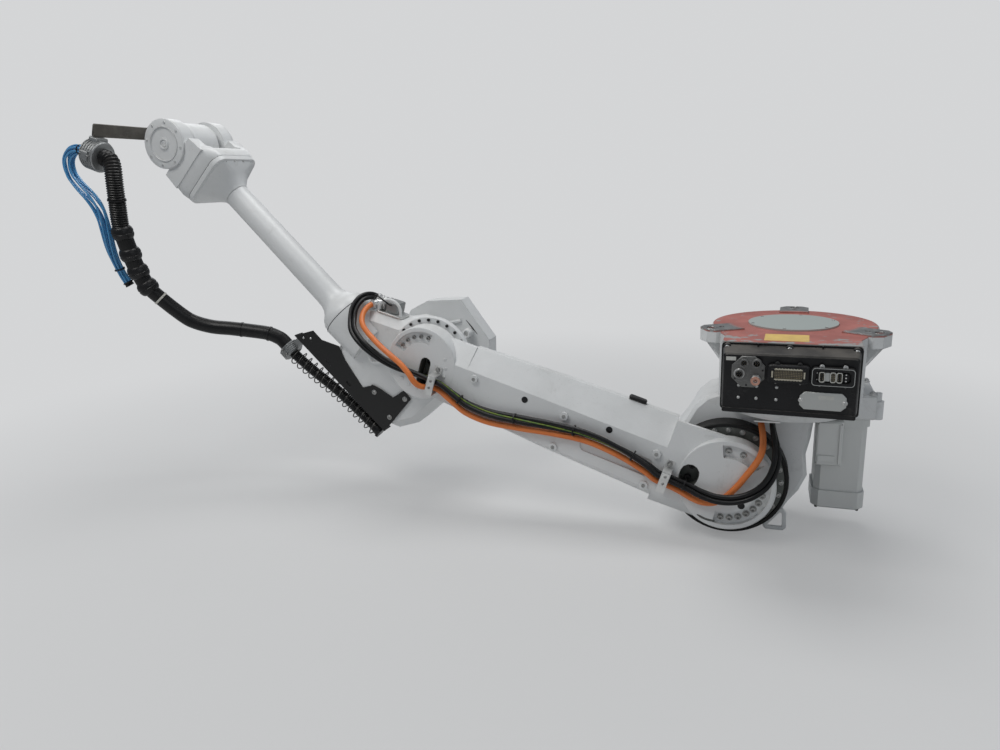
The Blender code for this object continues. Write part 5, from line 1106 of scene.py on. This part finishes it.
def fit_connector_screws():
    """The screws in the two connectors' ears and feet and in the blanking plate."""
    ear = turned([(0.0062, -0.003), (0.0062, 0.0020), (0.0050, 0.0028), (0.0030, 0.0028), (0.0026, 0.0010)],
                 22)
    for (across, up), shade in ((PIN_AT, "black"), (MODULE_AT, "bright")):
        ears = [on_panel(across + side * 0.0277, up + 0.0262, 0.0118, side) for side in (-1, 1)]
        fasten(f"ear_screws_{shade}", [ear], ears, f"screw_{shade}", "base")
    feet = [on_panel(across + side * 0.031, up - 0.0285, 0.0, side) for across, up in (PIN_AT, MODULE_AT)
            for side in (-1, 1)]
    fasten("connector_foot_screws", [button_screw(0.0026, 0.0016)], feet, "screw_steel", "base")
    blank = [on_panel(BLANK_AT[0] + side * 0.0530, BLANK_AT[1] - side * 0.001, 0.0042, side)
             for side in (-1, 1)]
    fasten("blanking_screws", [button_screw(0.0060, 0.0040), washer(0.0070, 0.0010)], blank, "screw_bright",
           "base")


def fit_labels():
    """Plain labels on the blanking plate, the panel and the mounting face."""
    for name, size, place, look, slot in (
            ("blanking_plate_label", (0.0370, 0.0110, 0.0003, 0.0010), on_panel(0.095, -0.1285, 0.0044),
             "label_grey", "grey_plate"),
            ("panel_label", (0.0260, 0.0105, 0.0003, 0.0010), on_panel(-0.1480, -0.0350, 0.0004),
             "label_white", "grey_plate"),
            ("rim_label", (0.1180, 0.0920, 0.0004, 0.0020), stand(BASE, (-0.012, -0.2270, -0.0048)),
             "label_yellow", "disc_paint")):
        fasten(name, [plate(*size, 0.0001)], [place], look, "base")


class ROBOT_OT_fit_base(bpy.types.Operator):
    """Fit the base: its disc's screws, the connectors' pins and frames, the panel's screws and labels"""
    bl_idname = "robot.fit_base"
    bl_label = "Fit base"

    def execute(self, context):
        fit_disc()
        fit_cover_lip()
        fit_round_plate()
        posts = fit_pin_connector() + fit_module_connector()
        fasten("connector_pins", [stud(-0.0030, (0.0010, 0.0016), (0.0005, 0.0022), 8)], posts, "pin_metal",
               "base")
        fit_connector_screws()
        fit_labels()
        return {"FINISHED"}


class ROBOT_OT_fit_turret(bpy.types.Operator):
    """Fit the turret: the ring's and deck's bolts, the motors' screws and caps, the plug box's lid"""
    bl_idname = "robot.fit_turret"
    bl_label = "Fit turret"

    def execute(self, context):
        ring = ring_of(TURRET_SIDE, (0, 0), 0.1635, np.arange(0, 360, 15.0), 0.110)
        fasten("gearbox_ring_bolts", [socket_screw(0.0068, 0.0064), washer(0.0086, 0.0010)], ring,
               "screw_steel", "turret")
        deck = ring_of(TURRET, (0, 0), 0.1885, np.arange(7.5, 360, 22.5), -0.212, "XY")
        fasten("deck_bolts", [socket_screw(0.0065, 0.0065)], deck, "screw_black", "turret")
        self.close_motors()
        self.close_plug_box()
        shelf = [stand(TURRET, (x, y, -0.2147), (0, 0, 1), x * 50)
                 for x, y in ((0.236, -0.032), (0.236, 0.125), (0.118, -0.036))]
        fasten("shelf_bolts", [hex_nut(0.0092, 0.0080), washer(0.0115, 0.0016)], shelf, "screw_bright",
               "turret")
        side = [stand(TURRET, (x, -0.0550, z), (0, -1, 0), x * 60)
                for x, z in ((0.058, -0.248), (0.130, -0.250), (-0.060, -0.256))]
        fasten("turret_side_bolts", [socket_screw(0.0065, 0.0060)], side, "screw_black", "turret")
        strap = [stand(TURRET, (-0.062 + end * 0.028, -0.0603, -0.303), (0, -1, 0), end) for end in (-1, 1)]
        fasten("strap_screws", [button_screw(0.0050, 0.0030)], strap, "screw_steel", "turret")
        return {"FINISHED"}

    def close_motors(self):
        """Four screws and a round cap on the end of each motor."""
        ends = [stand(TURRET, (MOTOR1_AT[0] + a * 0.060, MOTOR1_AT[1] + b * 0.060, MOTOR1_END), (0, 0, -1),
                      a + b) for a, b in CORNERS]
        ends += [stand(TURRET, (MOTOR2_AT[0] + a * 0.058, MOTOR2_END, MOTOR2_AT[1] + b * 0.058), (0, 1, 0),
                       a - b) for a, b in CORNERS]
        fasten("motor_end_screws", [socket_screw(0.0050, 0.0050)], ends, "screw_black", "turret")
        middles = [stand(TURRET, (*MOTOR1_AT, MOTOR1_END), (0, 0, -1)),
                   stand(TURRET, (MOTOR2_AT[0], MOTOR2_END, MOTOR2_AT[1]), (0, 1, 0))]
        cap = turned([(0.050, -0.0005), (0.050, 0.0030), (0.047, 0.0045), (0.016, 0.0045), (0.014, 0.0030)],
                     40)
        fasten("motor_end_caps", [cap], middles, "motor_paint", "turret")

    def close_plug_box(self):
        """The lid of the first motor's plug box, with its screws and ribs."""
        x, y, z = PLUG_BOX_AT
        screws = [stand(TURRET, (x + a * 0.031, y, z + b * 0.064), (0, -1, 0), a + 2 * b) for a, b in CORNERS]
        fasten("plug_box_screws", [button_screw(0.0042, 0.0024)], screws, "screw_steel", "turret")
        fasten("plug_box_lid", [plate(0.066, 0.136, 0.0022, 0.004)], [stand(TURRET, (x, y, z), (0, -1, 0))],
               "motor_paint", "turret")
        ribs = [moved(plate(0.0060, 0.130, 0.0060, 0.002),
                      stand(TURRET, (x + 0.0300, y - 0.0015, z), (0, -1, 0))),
                moved(plate(0.050, 0.020, 0.0045, 0.003),
                      stand(TURRET, (x - 0.006, y - 0.0015, -0.4200), (0, -1, 0)))]
        piece("plug_box_ribs", ribs, "motor_paint", "turret")


def on_arm(along, height, up, spin=0.0):
    """Where a shape stands on the lower arm, facing the viewer."""
    return stand(LOWER, (along, height, up), (0, 1, 0), spin)


def line_hollow_with_painted_shade(name, along, face, up, wide, tall, depth):
    """Dark walls and a dark floor in a hollow with round ends, so that it reads as deep: the walls are
    painted shade over the hollow's white inner side, and the floor is the hollow's dark floor with painted
    shade over it.
    """
    rims = ((0.0003, -depth + 0.0004), (0.0003, -0.0012), (0.0030, -0.0012), (0.0030, -depth + 0.0024))
    wall = framed([(slab(wide - inset, tall - inset, (wide - inset) / 2 - 0.0002, 40), level)
                   for inset, level in rims])
    floor = plate(wide - 0.0030, tall - 0.0030, 0.0020, wide / 2 - 0.0025)
    piece(name, [moved(wall, on_arm(along, face, up)),
                 moved(floor, on_arm(along, face - depth + 0.0003, up))],
          "ring_grease", "lower_arm")


class ROBOT_OT_fit_lower_arm(bpy.types.Operator):
    """Fit the lower arm: its bolts and plugs, the painted shade in its hollows, its groove and its clamps'
    lids
    """
    bl_idname = "robot.fit_lower_arm"
    bl_label = "Fit lower arm"

    def execute(self, context):
        screw = context.scene.robot_sizes.screw
        head = ring_of(LOWER, (0, 0), 0.113, [*np.linspace(162, 258, 8), 74, 97, 120], HEAD_FACE - RECESS)
        fasten("head_bolts", [socket_screw(screw, 0.0105), washer(screw * 1.3, 0.0012)], head, "screw_steel",
               "lower_arm")
        moon = ring_of(LOWER, (LOWER_LENGTH, 0), 0.0950, np.linspace(24, 90, 5), ELBOW_FACE - RECESS)
        fasten("elbow_head_bolts", [socket_screw(0.0068, 0.0085)], moon, "screw_steel", "lower_arm")
        inner = ring_of(LOWER, (LOWER_LENGTH, 0), 0.0950, np.linspace(150, 345, 11), ELBOW_FACE)
        fasten("elbow_face_plugs", [stud(-0.0001, (0.0066, 0.0008), (0.0060, 0.0012), 20)], inner,
               "body_paint", "lower_arm")
        bosses = [on_arm(along, beam_face(along) + 0.0090, up, along * 9)
                  for along, up in ((0.5552, 0.0170), (0.5585, -0.1020), (0.2321, 0.0140), (0.2354, -0.1050),
                                    (0.8913, 0.0210))]
        fasten("boss_screws", [socket_screw(0.0060, 0.0026)], bosses, "screw_steel", "lower_arm")
        # Painted shade: dark walls inside the head's pocket and the elbow's slot, and their dark floors with
        # painted shade over them.
        line_hollow_with_painted_shade("head_pocket_lining", POCKET_ALONG, HEAD_FACE, -0.0135, 0.0600, 0.0780, POCKET_DEPTH)
        line_hollow_with_painted_shade("elbow_slot_lining", SLOT_ALONG, ELBOW_FACE, -0.0255, 0.0390, 0.1080, SLOT_DEPTH)
        groove = smooth_line(within(LOWER, [(0.046, 0.1738, -0.1290), (0.028, 0.1734, -0.1318),
                                            (0.012, 0.1732, -0.1320), (-0.012, 0.1738, -0.1280)]), 0.003)
        radii = np.interp(np.linspace(0, 1, len(groove)), (0, 0.2, 0.8, 1), (0.0020, 0.0042, 0.0042, 0.0020))
        piece("head_groove", [tube(groove, radii, 10)], "ring_grease", "lower_arm")
        oval = [on_arm(0.115, HEAD_FACE - 0.043, up, up * 90) for up in (-0.036, 0.008)]
        fasten("pocket_bolts", [socket_screw(0.0110, 0.0120)], oval, "screw_black", "lower_arm")
        slot = [on_arm(SLOT_ALONG, ELBOW_FACE - SLOT_DEPTH, up) for up in (-0.052, 0.002)]
        fasten("slot_bolts", [socket_screw(0.0100, 0.0120)], slot, "screw_black", "lower_arm")
        self.close_clamps()
        plugs = [on_arm(along, beam_face(along), up) for along, up in ((0.70, 0.018), (0.40, 0.030))]
        plugs.append(on_arm(-0.0660, HEAD_FACE, -0.0440))
        fasten("arm_plugs", [stud(-0.0001, (0.0110, 0.0012), (0.0098, 0.0020))], plugs, "black_plastic",
               "lower_arm")
        return {"FINISHED"}

    def close_clamps(self):
        """A nut on each cable clamp's foot, a lid over its cables and two screws in the lid."""
        feet, lids, screws = [], [], []
        for along, face, up in zip(CLAMPS, (HEAD_FACE, ELBOW_FACE), (0.0, 0.004)):
            feet.append(on_arm(along, face + 0.0043, up, along))
            lids.append(on_arm(along, face + 0.0446, -0.0390))
            screws += [on_arm(along, face + 0.0506, level, along) for level in (-0.052, -0.027)]
        fasten("clamp_screws", [hex_nut(0.0074, 0.0062), washer(0.0088, 0.0014)], feet, "screw_steel",
               "lower_arm")
        fasten("clamp_lids", [plate(0.0260, 0.0440, 0.0062, 0.0030)], lids, "zinc_metal", "lower_arm")
        fasten("clamp_lid_screws", [button_screw(0.0052, 0.0030)], screws, "screw_steel", "lower_arm")


class ROBOT_OT_fit_elbow(bpy.types.Operator):
    """Fit the elbow: its ring's bolts, its seam and lip, the hood, the connectors' glands and the tray"""
    bl_idname = "robot.fit_elbow"
    bl_label = "Fit elbow"

    def execute(self, context):
        ring = ring_of(UPPER, (0, 0), 0.1415, np.arange(0, 360, 15.0), 0.0787)
        fasten("elbow_ring_bolts", [socket_screw(0.0055, 0.0055)], ring, "screw_black", "upper_arm")
        seam = hoop([(0.0990, -0.0014), (0.1003, -0.0014), (0.1003, 0.0010), (0.0990, 0.0010)], 64)
        fasten("sleeve_seam", [seam], [stand(UPPER, (0.3602, 0.0, -0.175), (1, 0, 0))], "seal_rubber",
               "upper_arm")
        sides = [stand(UPPER, (x, 0.0548, z), (0, 1, 0), x * 30)
                 for x, z in ((0.262, -0.235), (0.200, -0.300))]
        fasten("elbow_side_screws", [socket_screw(0.0055, 0.0030)], sides, "screw_black", "upper_arm")
        lip = smooth_line(within(UPPER, [(0.198, 0.0565, -0.168), (0.176, 0.0590, -0.196),
                                         (0.150, 0.0600, -0.200), (0.128, 0.0600, -0.176),
                                         (0.112, 0.0580, -0.158)]), 0.003)
        piece("elbow_cast_lip", [tube(lip, 0.0062, 12)], "body_paint", "upper_arm")
        self.dress_hood()
        self.fit_connectors()
        self.fit_tray()
        return {"FINISHED"}

    def dress_hood(self):
        """The hood's boss, bar, screws and slot."""
        boss = turned([(0.0175, -0.002), (0.0175, 0.030), (0.0155, 0.034), (0.0090, 0.034), (0.0085, 0.024)],
                      28)
        bar = smooth_line(within(UPPER, [(0.072, -0.0990, 0.060), (0.056, -0.0985, 0.088),
                                         (0.040, -0.0990, 0.112)]), 0.006)
        piece("hood_bosses", [moved(boss, stand(UPPER, (-0.012, -0.1000, 0.104), (0, 1, 0))),
                              tube(bar, 0.0080, 12)], "body_paint", "upper_arm")
        screws = [stand(UPPER, (-0.012, -0.0762, 0.104), (0, 1, 0)),
                  stand(UPPER, (0.03, -0.2353, 0.02), (0, -1, 0))]
        fasten("hood_screws", [socket_screw(0.0078, 0.0070)], screws, "screw_bright", "upper_arm")
        slot = smooth_line(within(UPPER, [(0.030, -0.1003, 0.128), (0.0, -0.1003, 0.126),
                                          (-0.040, -0.1003, 0.122)]), 0.004)
        radii = np.interp(np.linspace(0, 1, len(slot)), (0, 0.5, 1), (0.0008, 0.0026, 0.0008))
        piece("hood_slot", [tube(slot, radii, 8)], "seal_rubber", "upper_arm")

    def fit_connectors(self):
        """The two glands on the connector block and the thin lead that loops beside it."""
        power, signal = (stand(LOWER, (1.3440, across, 0.1039), (1, 0, 0)) for across in (0.002, -0.032))
        piece("elbow_glands", [moved(gland(0.0135, 0.026), power), moved(gland(0.0195, 0.028), signal)],
              "zinc_metal", "upper_arm")
        block = np.array(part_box("elbow_connector_block")).mean(0)
        lead = smooth_line([block + np.array(step) for step in
                            ((0.0, -0.034, 0.010), (0.0, -0.050, 0.016), (-0.020, -0.066, 0.040),
                             (-0.045, -0.060, 0.052), (-0.066, -0.040, 0.036), (-0.070, -0.020, 0.006),
                             (-0.068, -0.008, -0.018))], 0.004)
        made = piece("elbow_thin_lead", [tube(lead, 0.0030, 10)], "cable_black", "upper_arm",
                     (), 60)

    def fit_tray(self):
        """The tray's large and small screws and the split clamp under it."""
        screws = [stand(UPPER, (x, 0.0627, z), (0, 1, 0), x * 9)
                  for x, z in ((0.0700, -0.2840), (-0.0330, -0.2060), (-0.0390, -0.3100))]
        fasten("tray_screws", [button_screw(0.0070, 0.0042), washer(0.0098, 0.0010)], screws, "screw_steel",
               "upper_arm")
        small = [stand(UPPER, (x, 0.0594, z), (0, 1, 0), x * 9)
                 for x, z in ((0.4180, -0.3560), (0.3950, -0.3330))]
        fasten("tray_small_screws", [button_screw(0.0048, 0.0030)], small, "screw_bright", "upper_arm")
        split_clamp("tray_clamp", UPPER, TRAY_CLAMP, 0.0402, 0.040, "upper_arm")


def split_clamp(name, frame_at, place, radius, width, body):
    """Ribs round a split hose clamp that lies along its frame's X, and a screw in each of its ears."""
    here = stand(frame_at, place, (1, 0, 0))
    outer = radius + 0.0022
    ribs = [hoop([(radius - 0.001, h - 0.0016), (outer, h - 0.0012), (outer, h + 0.0012),
                  (radius - 0.001, h + 0.0016)], 40) for h in np.linspace(-width * 0.36, width * 0.36, 5)]
    fasten(f"{name}_ribs", ribs, [here], "clamp_metal", body)
    ears = []
    for side in (-1, 1):
        for level in (-0.26, 0.26):
            spot = here @ np.array([side * (radius + 0.0020), 0, level * width, 1.0])
            ears.append(stand(np.eye(4), spot[:3], here[:3, 0] * side))
    fasten(f"{name}_screws", [socket_screw(0.0046, 0.0060)], ears, "screw_steel", body)


class ROBOT_OT_fit_wrist(bpy.types.Operator):
    """Fit the wrist: its round covers' screws and hubs, and the fork's flange, seam, screws and plugs"""
    bl_idname = "robot.fit_wrist"
    bl_label = "Fit wrist"

    def execute(self, context):
        rims = [stand(WRIST, (WRIST_REACH + 0.0775 * math.cos(t), side * 0.1430, 0.0775 * math.sin(t)),
                      (0, side, 0), t) for side in (1, -1) for t in np.radians(np.arange(12, 372, 45.0))]
        fasten("cover_screws", [socket_screw(0.0040, 0.0030)], rims, "body_paint", "wrist_arm")
        hubs = [stand(WRIST, (WRIST_REACH, side * 0.1400, 0), (0, side, 0)) for side in (1, -1)]
        hub = turned([(0.0115, -0.0008), (0.0115, 0.0022), (0.0098, 0.0034), (0.0050, 0.0034),
                      (0.0042, 0.0020)], 28)
        fasten("cover_hubs", [hub], hubs, "body_paint", "wrist_arm")
        along = [stand(WRIST, (0, 0, 0), (1, 0, 0))]
        flange = stacked([(slab(*outline, 40), height) for outline, height in (
            ((0.2340, 0.2240, 0.0440), 1.0730), ((0.2372, 0.2272, 0.0450), 1.0745),
            ((0.2400, 0.2304, 0.0450), 1.0900), ((0.2376, 0.2280, 0.0440), 1.0915))])
        fasten("fork_flange", [flange], along, "body_paint", "wrist_arm")
        outline = slab(0.2385, 0.2289, 0.0445, 40)
        fasten("fork_seam", [stacked([(outline, 1.0905), (outline, 1.0926)])], along, "seal_rubber",
               "wrist_arm")
        bolts = [stand(WRIST, (1.0728, y, z), (-1, 0, 0), y * 40)
                 for y, z in ((-0.070, 0.1010), (-0.025, 0.1040), (0.025, 0.1040), (0.070, 0.1010),
                              (-0.070, -0.1010), (0.070, -0.1010), (0.1060, 0.050), (0.1060, -0.050),
                              (-0.1060, 0.050), (-0.1060, -0.050))]
        fasten("fork_screws", [socket_screw(0.0050, 0.0046)], bolts, "screw_steel", "wrist_arm")
        plugs = [stand(WRIST, (1.1350, side * 0.1030, 0.1010)) for side in (-1, 1)]
        fasten("fork_plugs", [stud(-0.0040, (0.0090, 0.0008), (0.0080, 0.0016))], plugs, "black_plastic",
               "wrist_arm")
        return {"FINISHED"}


class ROBOT_OT_fit_tool(bpy.types.Operator):
    """Fit the tool side: the tilt ring's screws, the bar's screws and bolts and the hose clamp's ribs"""
    bl_idname = "robot.fit_tool"
    bl_label = "Fit tool side"

    def execute(self, context):
        face = [stand(TOOL, (0.0745, 0.060 * math.cos(t), 0.060 * math.sin(t)), (1, 0, 0), t)
                for t in np.radians(np.arange(0, 360, 40.0))]
        fasten("tilt_ring_screws", [stud(-0.012, (0.0046, 0.0030), (0.0040, 0.0040), 18)], face,
               "screw_steel", "wrist_tilt")
        bar = [stand(TOOL, (0.1433, y, z), (1, 0, 0), y * 70)
               for y, z in ((-0.020, 0.013), (-0.020, -0.013), (0.018, 0.013), (0.018, -0.013))]
        fasten("bar_screws", [socket_screw(0.0055, 0.0055), washer(0.0070, 0.0010)], bar, "screw_steel",
               "tool")
        ends = [stand(TOOL, (0.1433, 0.300 + side * 0.014, 0.0), (1, 0, 0), side) for side in (-1, 1)]
        fasten("bar_end_bolts", [hex_nut(0.0062, 0.0055), washer(0.0080, 0.0012)], ends, "screw_steel",
               "tool")
        split_clamp("tool_clamp", TOOL, (0.1393, 0.300, -0.088), 0.0540, 0.060, "tool")
        return {"FINISHED"}


def floor_finish(colour, low):
    """The floor's plain paint, which turns to the backdrop's colour away from the arm."""
    made = bpy.data.materials.new("studio_floor")
    made.use_nodes = True
    tree = made.node_tree
    shader = tree.nodes["Principled BSDF"]
    place = node(tree, "TexCoord").outputs["Object"]
    tone = mixed(tree, cloud(tree, place, 3.0, 4.0), colour, tuple(value * 0.985 for value in colour))
    tree.links.new(tone, shader.inputs["Base Color"])
    shader.inputs["Roughness"].default_value = 0.85
    away = node(tree, "VectorMath", {0: place, 1: (-1.0, 0.0, low)}, operation="DISTANCE")
    pale = sums(tree, "MULTIPLY", band(tree, away.outputs["Value"], 0.9, 3.4, 0.35, 1.0),
                node(tree, "LightPath").outputs["Is Camera Ray"])
    glow = node(tree, "Emission", {"Color": PALE, "Strength": 1.0})
    both = node(tree, "MixShader", {0: pale, 1: shader.outputs[0], 2: glow.outputs[0]})
    tree.links.new(both.outputs[0], tree.nodes["Material Output"].inputs["Surface"])
    return made


def lay_floor(scene):
    """A wide flat floor just below the lowest solid."""
    low = CAD_BOX[0][2] - 0.0010
    points, faces = sewn(np.stack([np.stack(np.broadcast_arrays(np.linspace(-14, 14, 8), y, low), -1)
                                   for y in np.linspace(-9, 16, 8)]), around=False)
    data = bpy.data.meshes.new("floor")
    data.from_pydata(points.tolist(), [], [face[::-1] for face in faces.tolist()])
    data.update()
    data.materials.append(floor_finish(tuple(scene.robot_colours.floor), low))
    floor = bpy.data.objects.new("floor", data)
    scene.collection.objects.link(floor)


def light_world(scene):
    """A soft cool glow on the arm and a plain pale backdrop for the camera."""
    world = bpy.data.worlds.new("studio")
    scene.world = world
    world.use_nodes = True
    tree = world.node_tree
    tree.nodes.clear()
    seen = node(tree, "LightPath").outputs["Is Camera Ray"]
    glow = node(tree, "Background", {"Color": (0.86, 0.92, 1.0), "Strength": 0.24})
    shown = node(tree, "Background", {"Color": PALE, "Strength": 1.0})
    both = node(tree, "MixShader", {0: seen, 1: glow.outputs[0], 2: shown.outputs[0]})
    tree.links.new(both.outputs[0], tree.nodes.new("ShaderNodeOutputWorld").inputs[0])


def hang_lamps(scene):
    """Four soft lamps round the arm, each turned to its middle."""
    centre = np.mean(CAD_BOX, axis=0)
    for name, offset, size, power, tint in (
            ("key_lamp", (-1.6, -2.6, 4.0), 1.9, 78.0, (1.0, 0.985, 0.96)),
            ("fill_lamp", (3.4, -2.2, 2.4), 2.4, 15.0, (0.95, 0.98, 1.0)),
            ("top_lamp", (0.2, 0.8, 4.2), 2.4, 96.0, (1.0, 1.0, 1.0)),
            ("back_lamp", (-3.0, 3.0, 2.2), 2.4, 26.0, (0.96, 0.98, 1.0))):
        lamp = bpy.data.lights.new(name, "AREA")
        lamp.size, lamp.energy, lamp.color = size, power, tint
        held = bpy.data.objects.new(name, lamp)
        held.matrix_world = Matrix(stand(np.eye(4), centre + np.array(offset), offset).tolist())
        scene.collection.objects.link(held)


def aim_camera(scene):
    """The camera at the picture's angle, from its yaw, pitch, roll and place."""
    yaw, pitch, roll = -0.3496, 0.2550, -0.0437
    place, sensor, focal = (-0.1087, -2.3815, 0.4433), 36.0, 25.931
    level = np.array((math.sin(yaw), math.cos(yaw), 0.0))
    right, up = np.array((math.cos(yaw), -math.sin(yaw), 0.0)), np.array((0, 0, 1.0))
    ahead = math.cos(pitch) * level - math.sin(pitch) * up
    up = math.sin(pitch) * level + math.cos(pitch) * up
    right, up = math.cos(roll) * right + math.sin(roll) * up, math.cos(roll) * up - math.sin(roll) * right
    look = np.eye(4)
    look[:3, 0], look[:3, 1], look[:3, 2], look[:3, 3] = right, up, -ahead, place
    lens = bpy.data.cameras.new("camera")
    lens.sensor_width, lens.lens = sensor, focal
    camera = bpy.data.objects.new("camera", lens)
    camera.matrix_world = Matrix(look.tolist())
    scene.collection.objects.link(camera)
    scene.camera = camera


class ROBOT_OT_set_stage(bpy.types.Operator):
    """Set the pale floor and backdrop, the soft lamps and the camera at the picture's angle"""
    bl_idname = "robot.set_stage"
    bl_label = "Set stage"

    def execute(self, context):
        scene = context.scene
        lay_floor(scene)
        light_world(scene)
        hang_lamps(scene)
        aim_camera(scene)
        scene.view_settings.view_transform = "Standard"
        return {"FINISHED"}


STEPS = (ROBOT_OT_set_stage, ROBOT_OT_finish_castings, ROBOT_OT_lay_cables, ROBOT_OT_hang_hose,
         ROBOT_OT_hang_air_tubes, ROBOT_OT_wind_spring, ROBOT_OT_fit_base, ROBOT_OT_fit_turret,
         ROBOT_OT_fit_lower_arm, ROBOT_OT_fit_elbow, ROBOT_OT_fit_wrist, ROBOT_OT_fit_tool)


class ROBOT_PT_panel(bpy.types.Panel):
    """The sidebar's panel: the sizes, the colours and one button for each step"""
    bl_label = "Robot Arm"
    bl_idname = "ROBOT_PT_panel"
    bl_space_type = "VIEW_3D"
    bl_region_type = "UI"
    bl_category = "Robot Arm"

    def draw(self, context):
        for settings in (context.scene.robot_sizes, context.scene.robot_colours):
            box = self.layout.box()
            for name in settings.__annotations__:
                box.prop(settings, name)
        for step in STEPS:
            self.layout.operator(step.bl_idname)


CLASSES = (RobotSizes, RobotColours, *STEPS, ROBOT_PT_panel)


def register():
    """Register the classes and put the settings on the scene."""
    for kind in CLASSES:
        bpy.utils.register_class(kind)
    bpy.types.Scene.robot_sizes = bpy.props.PointerProperty(type=RobotSizes)
    bpy.types.Scene.robot_colours = bpy.props.PointerProperty(type=RobotColours)


def unregister():
    """Take the settings off the scene and unregister the classes."""
    del bpy.types.Scene.robot_colours
    del bpy.types.Scene.robot_sizes
    for kind in reversed(CLASSES):
        bpy.utils.unregister_class(kind)


def main():
    """Run every step in order."""
    register()
    for step in STEPS:
        area, name = step.bl_idname.split(".")
        getattr(getattr(bpy.ops, area), name)()


if __name__ == "__main__":
    main()
